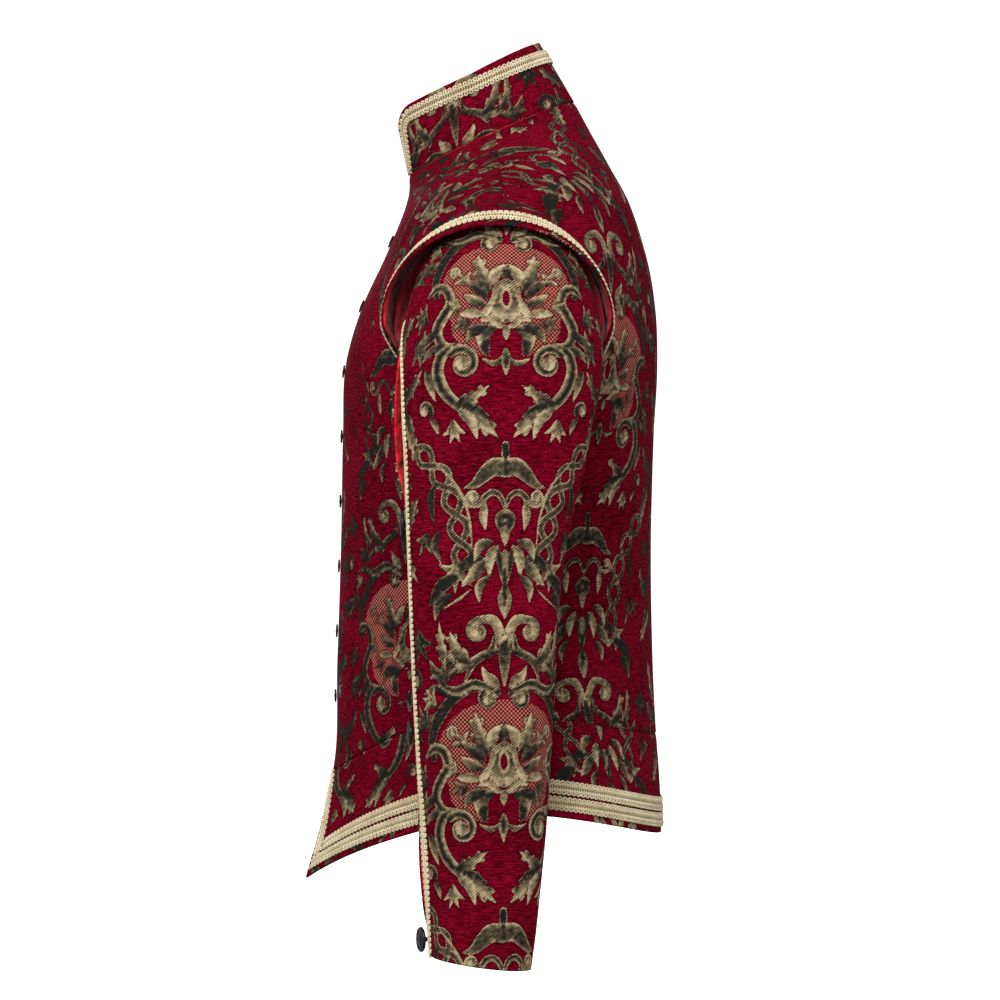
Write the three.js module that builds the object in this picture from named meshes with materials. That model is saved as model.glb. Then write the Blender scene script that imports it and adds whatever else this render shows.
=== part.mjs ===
// A doublet-style costume coat as it hangs when worn: fitted bodice that laps and buttons at the front,
// pointed basque below a waist seam, open stand collar, shoulder wings, and two-piece sleeves that are
// open along the front seam and held by buttons. Flat gimp braid edges it.
// Millimetres, +Z up. The wearer faces -Y and the wearer's left arm is at +X.
// The origin is midway between the shoulders, level with the side of the neck.
import * as THREE from 'three';

const CLOTH = 2.0; // brocade with its backing
const SATIN = 0.8; // lining, where it shows
const SEAM = 0.3; // between pieces that are sewn together
const ARM_SEAM = 0.5; // the sleeve head and the wing stand this far off the armhole edge
const BRAID = 13; // width of the gimp braid
const BRAID_THICK = 1.6;
const BRAID_LIFT = 0.35;
const MARGIN = 5; // cloth left beyond the braid
const ROW_GAP = 1; // between the two rows of braid at the hem

// Rows of numbers under named columns.
function table(columnNames, rows) {
  return rows.map((row) => Object.fromEntries(columnNames.map((name, i) => [name, row[i]])));
}

// The bodice and basque as closed rings of the figure, from the hem up. s runs along the cloth at the side.
// pinch and keel above 1 make the front of a ring a prow. dip and rise shape how its height runs to the middle
// front and back, and beak is the share of the fall that comes only in the last stretch of the front.
const RINGS = table(
  [
    'name', 's', 'zFront', 'zSide', 'zBack', 'half', 'yFront', 'ySide', 'yBack',
    'pinch', 'keel', 'dip', 'rise', 'beak',
  ],
  [
    ['hem', 0, -652, -571, -599, 186, -183, 2, 146.5, 1.85, 1.7, 2, 1.9, 0.24],
    ['basque', 45, -598, -530, -555, 171, -159, 2, 144.8, 1.7, 1.5, 2.3, 1.9, 0.12],
    ['waist seam', 88, -546, -492, -512, 159, -142.8, 1, 141.7, 1.35, 1.15, 2.5, 2, 0],
    ['waist', 158, -450, -424, -433, 153, -138.8, 2, 138, 1.1, 1, 2.2, 2, 0],
    ['ribs', 240, -345, -341, -343, 160, -135.4, 3, 137, 0.96, 1, 2, 2, 0],
    ['chest', 330, -249, -251, -251, 176, -133.6, 4, 139.6, 0.9, 1, 2, 2, 0],
    ['low arm', 391, -189, -190, -190, 187, -131, 5, 142.8, 0.9, 1, 2, 2, 0],
    ['mid arm', 442, -140, -140, -140, 196, -117, 6, 141, 0.92, 1, 2, 2, 0],
    ['high arm', 490, -93, -92, -92, 201, -95.5, 7, 132.5, 1, 1, 2, 2, 0],
    ['shoulder tip', 525, -62, -59, -50, 195, -82.5, 7, 119, 1, 1, 2, 2, 0],
    ['shoulder', 566, -47, -39, -14, 165, -77.6, 6, 100, 1.05, 1, 1.6, 1.6, 0],
    ['near neck', 620, -35, -15, 15, 116, -75.4, 3, 84, 1.15, 1, 1.2, 1.2, 0],
    ['neck', 672, -22, 11, 42, 72, -75.6, 0, 69.5, 1.25, 1, 1, 1, 0],
  ],
);
const BEAK_POWER = 8;
const HEM = 0;
const WAIST = 88;
const NECK = 672;

// The armhole is an oval in the side view, cut out of the rings.
const ARMHOLE = { y: 6, z: -172, halfWidth: 74, up: 112, down: 80 };
const SLIT = -90; // degrees round the sleeve from its outer side: minus is to the front
const SLIT_GAP = 0.6;
const BACK_SEAM = 105;
const FRONT_ANGLES = [0, -22, -44, -66.5, SLIT, -109, -129, -148, -165, -180];
const BACK_ANGLES = [0, 21, 42, 63, 84, BACK_SEAM, 124, 143, 162, 180];

// The sleeve below its head: the outer and inner point of each section, its middle in Y and its half depth.
// point flattens the front of a section towards a fold at the slit: 0 is round.
const SLEEVE = table(
  ['name', 's', 'xOuter', 'zOuter', 'xInner', 'zInner', 'yMid', 'halfDepth', 'point'],
  [
    ['head', 20, 222, -71, 186, -256, 6, 79, 0],
    ['cap', 48, 243, -89, 192, -259.5, 6.4, 82, 0.02],
    ['shoulder', 80, 261, -115, 196, -263, 6.7, 83.2, 0.04],
    ['armpit', 120, 275, -153, 198.5, -268, 6, 82, 0.05],
    ['upper arm', 170, 284, -203, 200.5, -277, 3, 78.3, 0.06],
    ['biceps', 225, 288, -258, 202, -296, 0.9, 74.3, 0.06],
    ['above elbow', 290, 291, -323, 203.5, -340, -4.5, 67, 0.06],
    ['elbow', 360, 294, -393, 206, -398, -7.8, 61.2, 0.06],
    ['below elbow', 430, 295, -463, 208.5, -464, -8.2, 58, 0.08],
    ['forearm', 500, 293.5, -533, 210.5, -532, -8.7, 54.3, 0.2],
    ['low forearm', 570, 290, -603, 212, -601, -9.5, 50.2, 0.5],
    ['wrist', 628, 286.5, -660, 213.5, -657, -10.1, 44.8, 0.14],
    ['cuff', 660, 284.5, -691, 214, -688, -11.2, 41.4, 0],
  ],
);
const CUFF = 660;
const CUFF_TILT = 5.5; // the cuff hangs this much lower at the back, and as much higher at the front

// How far the under sleeve gapes forward of the slit, between the buttons.
const GAPE = [
  { s: 0, out: 0 },
  { s: 60, out: 3 },
  { s: 100, out: 6.5 },
  { s: 170, out: 9.5 },
  { s: 235, out: 8.5 },
  { s: 265, out: 3.5 },
  { s: 284, out: 0 },
  { s: 375, out: 2.2 },
  { s: 467, out: 0.2 },
  { s: 530, out: 1.5 },
  { s: 590, out: 3.6 },
  { s: 625, out: 2.6 },
  { s: 643, out: 0 },
  { s: CUFF, out: 0.4 },
];
const SLEEVE_BUTTONS = [
  { s: 284, tilt: 4 },
  { s: 468, tilt: 8 },
  { s: 646, tilt: 18 },
];
const SLEEVE_BUTTON = { radius: 10.5, height: 4.2, shank: 2, foot: 1.6, pastSlit: 7 };

// The wing's free edge is an oval in the side view that stands off the armhole.
const WING = { y: 2, z: -157, halfWidth: 97, up: 77, down: 70, xTop: 248, xSide: 209 };
const WING_BOW = 4; // how far a 50 mm deep wing bows out between root and edge
const WING_ENDS = { fullTo: 92, end: 126, thin: 0.16 }; // degrees from the top, and the share of depth left
const WING_ROOT_OUT = 3.5;
const WING_ROOT_X = 2.4;

// The collar's upper edge. It stands open at the front.
const COLLAR_TOP = {
  open: 28, half: 67, yFront: -88.5, ySide: -21, yBack: 39.5, zFront: 31, zSide: 61, zBack: 93.5,
};
const COLLAR_MARGIN = { front: 3, back: 8 };
const COLLAR_CORNER = 22;
const COLLAR_BASE_EDGE = 1.5;
const HEM_BRAID_LIFT = 0.6;
const COLLAR_BRAID_LIFT = 0.9; // clears the flats of the band that it crosses at the corners

const LAP = 12; // each front reaches this far past the middle
const LAP_STEP = CLOTH + 0.5; // the right front lies this much deeper under the left
const LAP_EASE = 34;
const BASQUE_OPEN = { waist: 1.5, hem: 24 };
const FRONT_BUTTON = { radius: 6, height: 2, shank: 2.4, foot: 0.3, up: 0.5 };
const FRONT_BUTTON_TOP = -81;
const FRONT_BUTTON_STEP = 57;
const FRONT_BUTTON_COUNT = 8;

const BUTTON_SIDES = 12;

const COLOURS = {
  brocade: { color: 0x8e1024, roughness: 0.9, metalness: 0 },
  satin: { color: 0xc01820, roughness: 0.4, metalness: 0 },
  braid: { color: 0xd6c08c, roughness: 0.7, metalness: 0 },
  button: { color: 0x1d1916, roughness: 0.25, metalness: 0.4 },
};

const rad = THREE.MathUtils.degToRad;
const QUARTER = Math.PI / 2;
const lerp = THREE.MathUtils.lerp;
const smooth = (x, from, to) => THREE.MathUtils.smoothstep(x, from, to);

// A smooth curve through one column of a table, straight beyond its ends.
function through(rows, key) {
  const s = rows.map((r) => r.s);
  const y = rows.map((r) => r[key]);
  const last = s.length - 1;
  const chord = y.slice(1).map((v, i) => (v - y[i]) / (s[i + 1] - s[i]));
  const slope = y.map((_, i) => {
    if (i === 0) return chord[0];
    if (i === last) return chord[last - 1];
    const before = s[i] - s[i - 1];
    const after = s[i + 1] - s[i];
    return (chord[i - 1] * after + chord[i] * before) / (before + after);
  });
  return (at) => {
    if (at <= s[0]) return y[0] + slope[0] * (at - s[0]);
    if (at >= s[last]) return y[last] + slope[last] * (at - s[last]);
    let i = 0;
    while (at > s[i + 1]) i += 1;
    const h = s[i + 1] - s[i];
    const t = (at - s[i]) / h;
    const ends = y[i] * (1 + 2 * t) * (1 - t) ** 2 + y[i + 1] * t * t * (3 - 2 * t);
    return ends + h * (slope[i] * t * (1 - t) ** 2 - slope[i + 1] * t * t * (1 - t));
  };
}

function columns(rows) {
  const keys = Object.keys(rows[0]).filter((k) => k !== 'name' && k !== 's');
  return Object.fromEntries(keys.map((k) => [k, through(rows, k)]));
}

const ring = columns(RINGS);
const arm = columns(SLEEVE);
const gapeOut = through(GAPE, 'out');

// A point of the figure's surface. turn is 0 at the middle front, a quarter turn at the side and minus
// on the right.
function torso(turn, s) {
  const side = turn < 0 ? -1 : 1;
  const c = Math.cos(turn);
  const q = Math.sin(Math.abs(turn));
  const reach = Math.abs(c);
  const ySide = ring.ySide(s);
  const zSide = ring.zSide(s);
  if (c >= 0) {
    return new THREE.Vector3(
      side * ring.half(s) * q ** ring.pinch(s),
      ySide + (ring.yFront(s) - ySide) * reach ** ring.keel(s),
      zSide + (ring.zFront(s) - zSide) * lerp(reach ** ring.dip(s), reach ** BEAK_POWER, ring.beak(s)),
    );
  }
  return new THREE.Vector3(
    side * ring.half(s) * q,
    ySide + (ring.yBack(s) - ySide) * reach,
    zSide + (ring.zBack(s) - zSide) * reach ** ring.rise(s),
  );
}

// The outward normal of any surface(a, b), by differences. away is a point well inside it.
function normalOf(surface, a, b, stepA, stepB, away) {
  const alongA = surface(a + stepA, b).sub(surface(a - stepA, b));
  const alongB = surface(a, b + stepB).sub(surface(a, b - stepB));
  const n = alongA.cross(alongB).normalize();
  return n.dot(surface(a, b).sub(away)) < 0 ? n.negate() : n;
}

const TURN_STEP = 0.004;
const S_STEP = 0.5;
function torsoNormal(turn, s) {
  const p = torso(turn, s);
  return normalOf(torso, turn, s, TURN_STEP, S_STEP, new THREE.Vector3(0, 5, p.z - 20));
}

// The turn at which a front ring is at x from the middle.
function turnAtX(x, s) {
  const share = Math.min(1, Math.abs(x) / ring.half(s));
  return Math.sign(x) * Math.asin(share ** (1 / ring.pinch(s)));
}

// The turn that spans a short distance round a ring.
function turnFor(distance, turn, s) {
  return (distance * 0.01) / torso(turn, s).distanceTo(torso(turn + 0.01, s));
}

// The turn reached by walking a distance round a ring.
function walk(turn, s, distance) {
  const steps = 12;
  let at = turn;
  let before = torso(at, s);
  for (let i = 0; i < steps; i += 1) {
    const ahead = torso(at + 0.01, s);
    at += (0.01 * distance) / steps / Math.max(before.distanceTo(ahead), 0.05);
    before = torso(at, s);
  }
  return at;
}

// The armhole's edge at an angle round it: 0 at the top, minus to the front. Gives its place on the rings.
function armholePlace(degrees) {
  const a = rad(degrees);
  const y = ARMHOLE.y + ARMHOLE.halfWidth * Math.sin(a);
  const z = ARMHOLE.z + (Math.cos(a) > 0 ? ARMHOLE.up : ARMHOLE.down) * Math.cos(a);
  let turn = QUARTER;
  let s = 400;
  for (let i = 0; i < 30; i += 1) {
    s += (z - torso(turn, s).z) * 0.9;
    const ySide = ring.ySide(s);
    const front = y < ySide;
    const reach = (y - ySide) / ((front ? ring.yFront(s) : ring.yBack(s)) - ySide);
    const c = Math.min(1, reach) ** (1 / (front ? ring.keel(s) : 1));
    turn = front ? Math.acos(c) : Math.PI - Math.acos(c);
  }
  return { turn, s };
}

function armhole(degrees) {
  const { turn, s } = armholePlace(degrees);
  return torso(turn, s);
}

// The sleeve as a tube: round it in degrees from its outer side, s down it from the armhole.
function sleeveTube(degrees, s) {
  const a = rad(degrees);
  const inTube = (at) => {
    const across = Math.cos(a) / 2;
    const xo = arm.xOuter(at);
    const xi = arm.xInner(at);
    const zo = arm.zOuter(at);
    const zi = arm.zInner(at);
    const drop = CUFF_TILT * smooth(at, CUFF - 60, CUFF) * Math.sin(a);
    const flat = Math.sin(a) < 0 ? arm.point(at) : 0;
    const depth = lerp(Math.sin(a), Math.abs(Math.cos(a)) - 1, flat);
    return new THREE.Vector3(
      (xo + xi) / 2 + (xo - xi) * across,
      arm.yMid(at) + arm.halfDepth(at) * depth,
      (zo + zi) / 2 + (zo - zi) * across - drop,
    );
  };
  const first = SLEEVE[0].s;
  if (s >= first) return inTube(s);
  // from the armhole edge to the first section, meeting it smoothly
  const root = armhole(degrees).add(new THREE.Vector3(ARM_SEAM, 0, 0));
  const next = inTube(first);
  const t = s / first;
  const leave = inTube(first + S_STEP).sub(next).multiplyScalar(first / S_STEP);
  const straight = next.clone().sub(root);
  const start = straight.clone().multiplyScalar(2).sub(leave);
  return root.clone().multiplyScalar((1 + 2 * t) * (1 - t) ** 2)
    .addScaledVector(next, t * t * (3 - 2 * t))
    .addScaledVector(start, t * (1 - t) ** 2)
    .addScaledVector(leave, -t * t * (1 - t));
}

const FULL = 360;
// The under sleeve bulges forward between its buttons, so that its edge gapes.
function underSleeve(degrees, s) {
  const edge = FULL + SLIT;
  const share = smooth(degrees, edge - 75, edge);
  return sleeveTube(degrees, s).add(new THREE.Vector3(0, -gapeOut(s) * share, 0));
}

// The slit's two edges meet at a fold, so both are squared off there.
const squared = (n) => new THREE.Vector3(0, n.y, n.z).normalize();

function sleeveNormal(surface, degrees, s) {
  const middle = sleeveTube(0, s).add(sleeveTube(180, s)).multiplyScalar(0.5);
  return normalOf(surface, degrees, Math.max(s, S_STEP), 0.5, S_STEP, middle);
}

// The wing: angle round the armhole, share 0 at its root and 1 at its free edge.
function wingRoot(degrees) {
  const a = rad(degrees);
  const r = new THREE.Vector3(0, Math.sin(a), Math.cos(a));
  return armhole(degrees).addScaledVector(r, WING_ROOT_OUT).add(new THREE.Vector3(WING_ROOT_X, 0, 0));
}

function wingEdge(degrees) {
  const a = rad(degrees);
  const c = Math.cos(a);
  const edge = new THREE.Vector3(
    WING.xSide + (WING.xTop - WING.xSide) * Math.max(0, c) ** 2,
    WING.y + WING.halfWidth * Math.sin(a),
    WING.z + (c > 0 ? WING.up : WING.down) * c,
  );
  const full = lerp(1, WING_ENDS.thin, smooth(Math.abs(degrees), WING_ENDS.fullTo, WING_ENDS.end));
  return wingRoot(degrees).lerp(edge, full);
}

function wing(degrees, share) {
  const root = wingRoot(degrees);
  const edge = wingEdge(degrees);
  const a = rad(degrees);
  const out = new THREE.Vector3(0.5, Math.sin(a), Math.cos(a)).normalize();
  const bow = (WING_BOW * Math.sin(Math.PI * share) * root.distanceTo(edge)) / 50;
  return root.lerp(edge, share).addScaledVector(out, bow);
}

function wingNormal(degrees, share) {
  const a = rad(degrees);
  const inside = new THREE.Vector3(150, ARMHOLE.y, ARMHOLE.z)
    .add(new THREE.Vector3(0, Math.sin(a) * 20, Math.cos(a) * 20));
  return normalOf(wing, degrees, share, 0.5, 0.01, inside);
}

// Both collar loops are walked evenly from the front edge to the middle back.
function evenly(curve, from, to) {
  const steps = 160;
  const turns = [from];
  const lengths = [0];
  let before = curve(from);
  for (let i = 1; i <= steps; i += 1) {
    const turn = lerp(from, to, i / steps);
    const p = curve(turn);
    turns.push(turn);
    lengths.push(lengths[i - 1] + p.distanceTo(before));
    before = p;
  }
  const whole = lengths[steps];
  const at = (share) => {
    const want = share * whole;
    let i = 1;
    while (i < steps && lengths[i] < want) i += 1;
    const t = (want - lengths[i - 1]) / (lengths[i] - lengths[i - 1]);
    return curve(lerp(turns[i - 1], turns[i], t));
  };
  return { at, whole };
}

function collarTopLoop(turn) {
  const c = Math.cos(turn);
  const q = Math.sin(turn);
  const { open, half, yFront, ySide, yBack, zFront, zSide, zBack } = COLLAR_TOP;
  if (c >= 0) {
    const x = open * c * c + half * q * q;
    return new THREE.Vector3(x, ySide + (yFront - ySide) * c, zSide + (zFront - zSide) * c);
  }
  return new THREE.Vector3(half * q, ySide - (yBack - ySide) * c, zSide - (zBack - zSide) * c);
}

const collarSeat = (turn) => torso(turn, NECK).add(new THREE.Vector3(0, 0, SEAM + 0.1));
const collarBase = evenly(collarSeat, turnAtX(COLLAR_BASE_EDGE, NECK), Math.PI);
const collarTop = evenly(collarTopLoop, 0, Math.PI);

// along is 0 at the left front edge, 1 at the middle back and 2 at the right front edge; up is 0 to 1.
function collar(along, up) {
  const share = along <= 1 ? along : 2 - along;
  const p = collarBase.at(share).lerp(collarTop.at(share), up);
  if (along > 1) p.x = -p.x;
  return p;
}

function collarNormal(along, up) {
  const a = THREE.MathUtils.clamp(along, 0.006, 1.994);
  return normalOf(collar, a, up, 0.005, 0.02, new THREE.Vector3(0, -10, 20));
}

const collarLength = (up) => lerp(collarBase.whole, collarTop.whole, up);
const collarHeight = (along) => collar(along, 0).distanceTo(collar(along, 1));

// The place on the collar at a distance in from its front edge and one down from its upper edge.
function collarPlace(inFromFront, down, fromLeft) {
  let up = 1;
  let along = 0;
  for (let i = 0; i < 4; i += 1) {
    along = inFromFront / collarLength(up);
    up = 1 - down / collarHeight(along);
  }
  return { along: fromLeft ? along : 2 - along, up };
}

// Closed wall between two grids of points, with its faces turned outwards.
function closedWall(outer, inner) {
  const rows = outer.length;
  const cols = outer[0].length;
  const points = [...outer.flat(), ...inner.flat()];
  const far = rows * cols;
  const id = (i, j) => i * cols + j;
  const faces = [];
  const quad = (a, b, c, d) => faces.push(a, b, c, a, c, d);
  for (let i = 0; i < rows - 1; i += 1) {
    for (let j = 0; j < cols - 1; j += 1) {
      quad(id(i, j), id(i, j + 1), id(i + 1, j + 1), id(i + 1, j));
      faces.push(far + id(i, j), far + id(i + 1, j + 1), far + id(i, j + 1));
      faces.push(far + id(i, j), far + id(i + 1, j), far + id(i + 1, j + 1));
    }
  }
  const rim = [];
  for (let j = 0; j < cols; j += 1) rim.push(id(0, j));
  for (let i = 1; i < rows; i += 1) rim.push(id(i, cols - 1));
  for (let j = cols - 2; j >= 0; j -= 1) rim.push(id(rows - 1, j));
  for (let i = rows - 2; i > 0; i -= 1) rim.push(id(i, 0));
  rim.forEach((a, k) => {
    const b = rim[(k + 1) % rim.length];
    quad(a, far + a, far + b, b);
  });
  let volume = 0;
  for (let k = 0; k < faces.length; k += 3) {
    const [a, b, c] = [points[faces[k]], points[faces[k + 1]], points[faces[k + 2]]];
    volume += a.dot(b.clone().cross(c));
  }
  if (volume < 0) faces.reverse();
  const geometry = new THREE.BufferGeometry().setFromPoints(points);
  geometry.setIndex(faces);
  geometry.computeVertexNormals();
  return geometry;
}

// A grid of places on a surface, each with its point and normal. at(row, column) gives both.
function gridOf(rows, cols, at) {
  return rows.map((row) => cols.map((col) => at(row, col)));
}

function wallOn(grid, top, bottom) {
  const moved = (by) => grid.map((line) => line.map(({ p, n }) => p.clone().addScaledVector(n, by)));
  return closedWall(moved(top), moved(bottom));
}

const patch = (grid, row0, row1, col0, col1) => grid.slice(row0, row1 + 1)
  .map((line) => line.slice(col0, col1 + 1));
const mirrored = (grid) => grid.map((line) => line.map(({ p, n }) => ({
  p: new THREE.Vector3(-p.x, p.y, p.z),
  n: new THREE.Vector3(-n.x, n.y, n.z),
})));
const spread = (from, to, count) => [...Array(count + 1).keys()].map((i) => lerp(from, to, i / count));

const coat = new THREE.Group();
function add(name, geometry, kind) {
  const mesh = new THREE.Mesh(geometry, new THREE.MeshStandardMaterial(COLOURS[kind]));
  mesh.name = name;
  coat.add(mesh);
}

const braidOn = (grid, lift = BRAID_LIFT) => wallOn(grid, lift + BRAID_THICK, lift);

// Rows of a bodice panel: the ring of each, and the turn where it ends at the side seam, the armhole or
// the shoulder seam.
function bodiceRows(angles, towards) {
  const tip = armholePlace(angles[0]);
  const under = armholePlace(angles[angles.length - 1]);
  const seamRow = (s) => ({ s, end: QUARTER + towards * turnFor(SEAM / 2, QUARTER, s) });
  const below = spread(WAIST + SEAM / 2, under.s, 6).slice(0, -1).map(seamRow);
  const beside = angles.slice(1, -1).reverse().map(armholePlace).map(({ turn, s }) => ({ s, end: turn }));
  const above = spread(tip.s, NECK, 4).map(seamRow);
  return [...below, seamRow(under.s), ...beside, ...above];
}

const frontRows = bodiceRows(FRONT_ANGLES, -1);
const backRows = bodiceRows(BACK_ANGLES, 1);
const COLUMNS = spread(0, 1, 11);
const FRONT_COLUMNS = 13;

// A front's columns: some at a distance from the middle, the rest shared out from the last of them to its side.
function frontTurn(row, col, xs) {
  if (col < xs.length) return turnAtX(xs[col], row.s);
  const share = (col - xs.length + 1) / (FRONT_COLUMNS - xs.length);
  return lerp(turnAtX(xs[xs.length - 1], row.s), row.end, share);
}
const frontColumns = [...Array(FRONT_COLUMNS).keys()];

// The left front laps over the right, which steps in under it near the middle.
const leftFront = gridOf(frontRows, frontColumns, (row, col) => {
  const turn = frontTurn(row, col, [-LAP, LAP]);
  return { p: torso(turn, row.s), n: torsoNormal(turn, row.s) };
});
const rightFront = gridOf(frontRows, frontColumns, (row, col) => {
  const turn = -frontTurn(row, col, [-LAP, LAP, LAP + 5]);
  const n = torsoNormal(turn, row.s);
  const p = torso(turn, row.s);
  const step = LAP_STEP * smooth(p.x, -LAP - LAP_EASE, -LAP - 5);
  return { p: p.addScaledVector(n, -step), n };
});
const leftBack = gridOf(backRows, COLUMNS, (row, col) => {
  const turn = lerp(Math.PI - turnFor(SEAM / 2, Math.PI, row.s), row.end, col);
  return { p: torso(turn, row.s), n: torsoNormal(turn, row.s) };
});
add('front_left', wallOn(leftFront, 0, -CLOTH), 'brocade');
add('front_right', wallOn(rightFront, 0, -CLOTH), 'brocade');
add('back_left', wallOn(leftBack, 0, -CLOTH), 'brocade');
add('back_right', wallOn(mirrored(leftBack), 0, -CLOTH), 'brocade');

// The basque's rows are measured up from the hem, so that the rows of braid are grid rows.
function basqueLength(turn) {
  const middle = torso(turn, WAIST / 2);
  return torso(turn, HEM).distanceTo(middle) + middle.distanceTo(torso(turn, WAIST));
}
const UPPER_ROW = MARGIN + BRAID + ROW_GAP;
const BASQUE_ROWS = [0, MARGIN, MARGIN + BRAID, UPPER_ROW, UPPER_ROW + BRAID, 'middle', 'top'];
function basqueS(row, turn) {
  const length = basqueLength(turn);
  const topS = WAIST - SEAM / 2;
  if (row === 'top') return topS;
  const up = row === 'middle' ? (UPPER_ROW + BRAID + length) / 2 : row;
  return (up / length) * topS;
}
const BASQUE_COLUMNS = [0, MARGIN, MARGIN + BRAID, UPPER_ROW, ...spread(0, 1, 8).slice(1)];
function basqueEdge(s) {
  return turnAtX(lerp(BASQUE_OPEN.hem, BASQUE_OPEN.waist, s / WAIST), s);
}
const leftBasque = gridOf(BASQUE_ROWS, BASQUE_COLUMNS, (row, col) => {
  const isShare = col > 0 && col <= 1;
  const rough = isShare ? lerp(0.45, QUARTER, col) : 0.25;
  const s = basqueS(row, rough);
  const start = basqueEdge(s);
  const side = QUARTER - turnFor(SEAM / 2, QUARTER, s);
  const turn = isShare ? lerp(walk(start, s, UPPER_ROW), side, col) : walk(start, s, col);
  return { p: torso(turn, s), n: torsoNormal(turn, s) };
});
const backBasque = gridOf(BASQUE_ROWS, spread(0, 1, 20), (row, col) => {
  const flat = lerp(QUARTER, 3 * QUARTER, col);
  const s = basqueS(row, flat > Math.PI ? 2 * Math.PI - flat : flat);
  const gap = turnFor(SEAM / 2, QUARTER, s);
  const round = lerp(QUARTER + gap, 3 * QUARTER - gap, col);
  const turn = round > Math.PI ? round - 2 * Math.PI : round;
  return { p: torso(turn, s), n: torsoNormal(turn, s) };
});
const rightBasque = mirrored(leftBasque);
add('basque_front_left', wallOn(leftBasque, 0, -CLOTH), 'brocade');
add('basque_front_right', wallOn(rightBasque, 0, -CLOTH), 'brocade');
add('basque_back', wallOn(backBasque, 0, -CLOTH), 'brocade');

// Two rows of braid run round the hem, and one runs up each front edge to the waist seam.
const lastColumn = BASQUE_COLUMNS.length - 1;
function hemBraid(row, leftColumn) {
  const left = patch(leftBasque, row, row + 1, leftColumn, lastColumn);
  const right = patch(rightBasque, row, row + 1, leftColumn, lastColumn);
  const back = patch(backBasque, row, row + 1, 0, 20);
  return left.map((line, i) => [...line, ...back[i], ...right[i].slice().reverse()]);
}
add('hem_braid_lower', braidOn(hemBraid(1, 1), HEM_BRAID_LIFT), 'braid');
const upperStart = 3; // the next column after the front braid
add('hem_braid_upper', braidOn(hemBraid(3, upperStart), HEM_BRAID_LIFT), 'braid');
const frontBraidGrid = patch(leftBasque, 3, BASQUE_ROWS.length - 1, 1, 2);
add('basque_braid_left', braidOn(frontBraidGrid), 'braid');
add('basque_braid_right', braidOn(mirrored(frontBraidGrid)), 'braid');

// The collar is one band with rounded front corners.
const cornerShares = spread(0, 1, 4).map((t) => COLLAR_CORNER * (1 - Math.cos(t * QUARTER)));
const collarAlong = [
  ...cornerShares.map((d) => d / collarTop.whole),
  ...spread(COLLAR_CORNER / collarTop.whole, 2 - COLLAR_CORNER / collarTop.whole, 26).slice(1, -1),
  ...cornerShares.map((d) => 2 - d / collarTop.whole).reverse(),
];
function collarCut(along) {
  const fromEdge = Math.min(along, 2 - along) * collarTop.whole;
  if (fromEdge >= COLLAR_CORNER) return 1;
  const rest = COLLAR_CORNER - fromEdge;
  const cutAway = COLLAR_CORNER - Math.sqrt(Math.max(0, COLLAR_CORNER ** 2 - rest ** 2));
  return 1 - cutAway / collarHeight(along);
}
const collarGrid = gridOf(spread(0, 1, 3), collarAlong, (row, along) => {
  const up = row * collarCut(along);
  return { p: collar(along, up), n: collarNormal(along, up) };
});
add('collar', wallOn(collarGrid, 0, -CLOTH), 'brocade');

// The collar braid goes up one front edge, round the top and down the other.
function collarBraidLine(across) {
  const line = [];
  const edge = COLLAR_MARGIN.front + across;
  const deep = COLLAR_CORNER - edge;
  for (const down of spread(collarHeight(0) - SEAM, COLLAR_CORNER, 4)) line.push([edge, down]);
  for (const t of spread(0, 1, 5).slice(1)) {
    line.push([COLLAR_CORNER - deep * Math.cos(t * QUARTER), COLLAR_CORNER - deep * Math.sin(t * QUARTER)]);
  }
  const half = line.slice(0, -1).map(([inward, down]) => collarPlace(inward, down, true));
  const other = line.slice(0, -1).map(([inward, down]) => collarPlace(inward, down, false)).reverse();
  const from = COLLAR_CORNER / collarTop.whole;
  const top = spread(from, 2 - from, 26).map((along) => {
    const towardsBack = smooth(Math.min(along, 2 - along), from, 1);
    const down = lerp(COLLAR_MARGIN.front, COLLAR_MARGIN.back, towardsBack) + across;
    return { along, up: 1 - down / collarHeight(along) };
  });
  return [...half, ...top, ...other];
}
const collarBraidGrid = [0, BRAID].map((across) => collarBraidLine(across)
  .map(({ along, up }) => ({ p: collar(along, up), n: collarNormal(along, up) })));
add('collar_braid', braidOn(collarBraidGrid, COLLAR_BRAID_LIFT), 'braid');

// The wings, their satin lining and their braid.
const WING_ANGLES = [
  -WING_ENDS.end, -109, SLIT, -66.5, -55, -44, -33, -22, -11,
  0, 10.5, 21, 31.5, 42, 52.5, 63, 84, 105, WING_ENDS.end,
];
const wingLength = (degrees) => wingRoot(degrees).distanceTo(wingEdge(degrees));
const WING_ROWS = ['root', 'middle', 'braid top', 'braid foot', 'edge'];
function wingShare(row, degrees) {
  const length = wingLength(degrees);
  const braidTop = Math.max(0.45, 1 - (MARGIN + BRAID) / length);
  if (row === 'root') return 0;
  if (row === 'middle') return braidTop / 2;
  if (row === 'braid top') return braidTop;
  if (row === 'braid foot') return 1 - Math.min(0.25, MARGIN / length);
  return 1;
}
const wingGrid = gridOf(WING_ROWS, WING_ANGLES, (row, degrees) => {
  const share = wingShare(row, degrees);
  return { p: wing(degrees, share), n: wingNormal(degrees, share) };
});
const wingLiningGrid = patch(wingGrid, 1, 3, 1, WING_ANGLES.length - 2);
const LINING_LIFT = 0.3;
const liningOn = (grid) => wallOn(grid, -CLOTH - LINING_LIFT, -CLOTH - LINING_LIFT - SATIN);
const wingBraidGrid = patch(wingGrid, 2, 3, 1, WING_ANGLES.length - 2);

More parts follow.
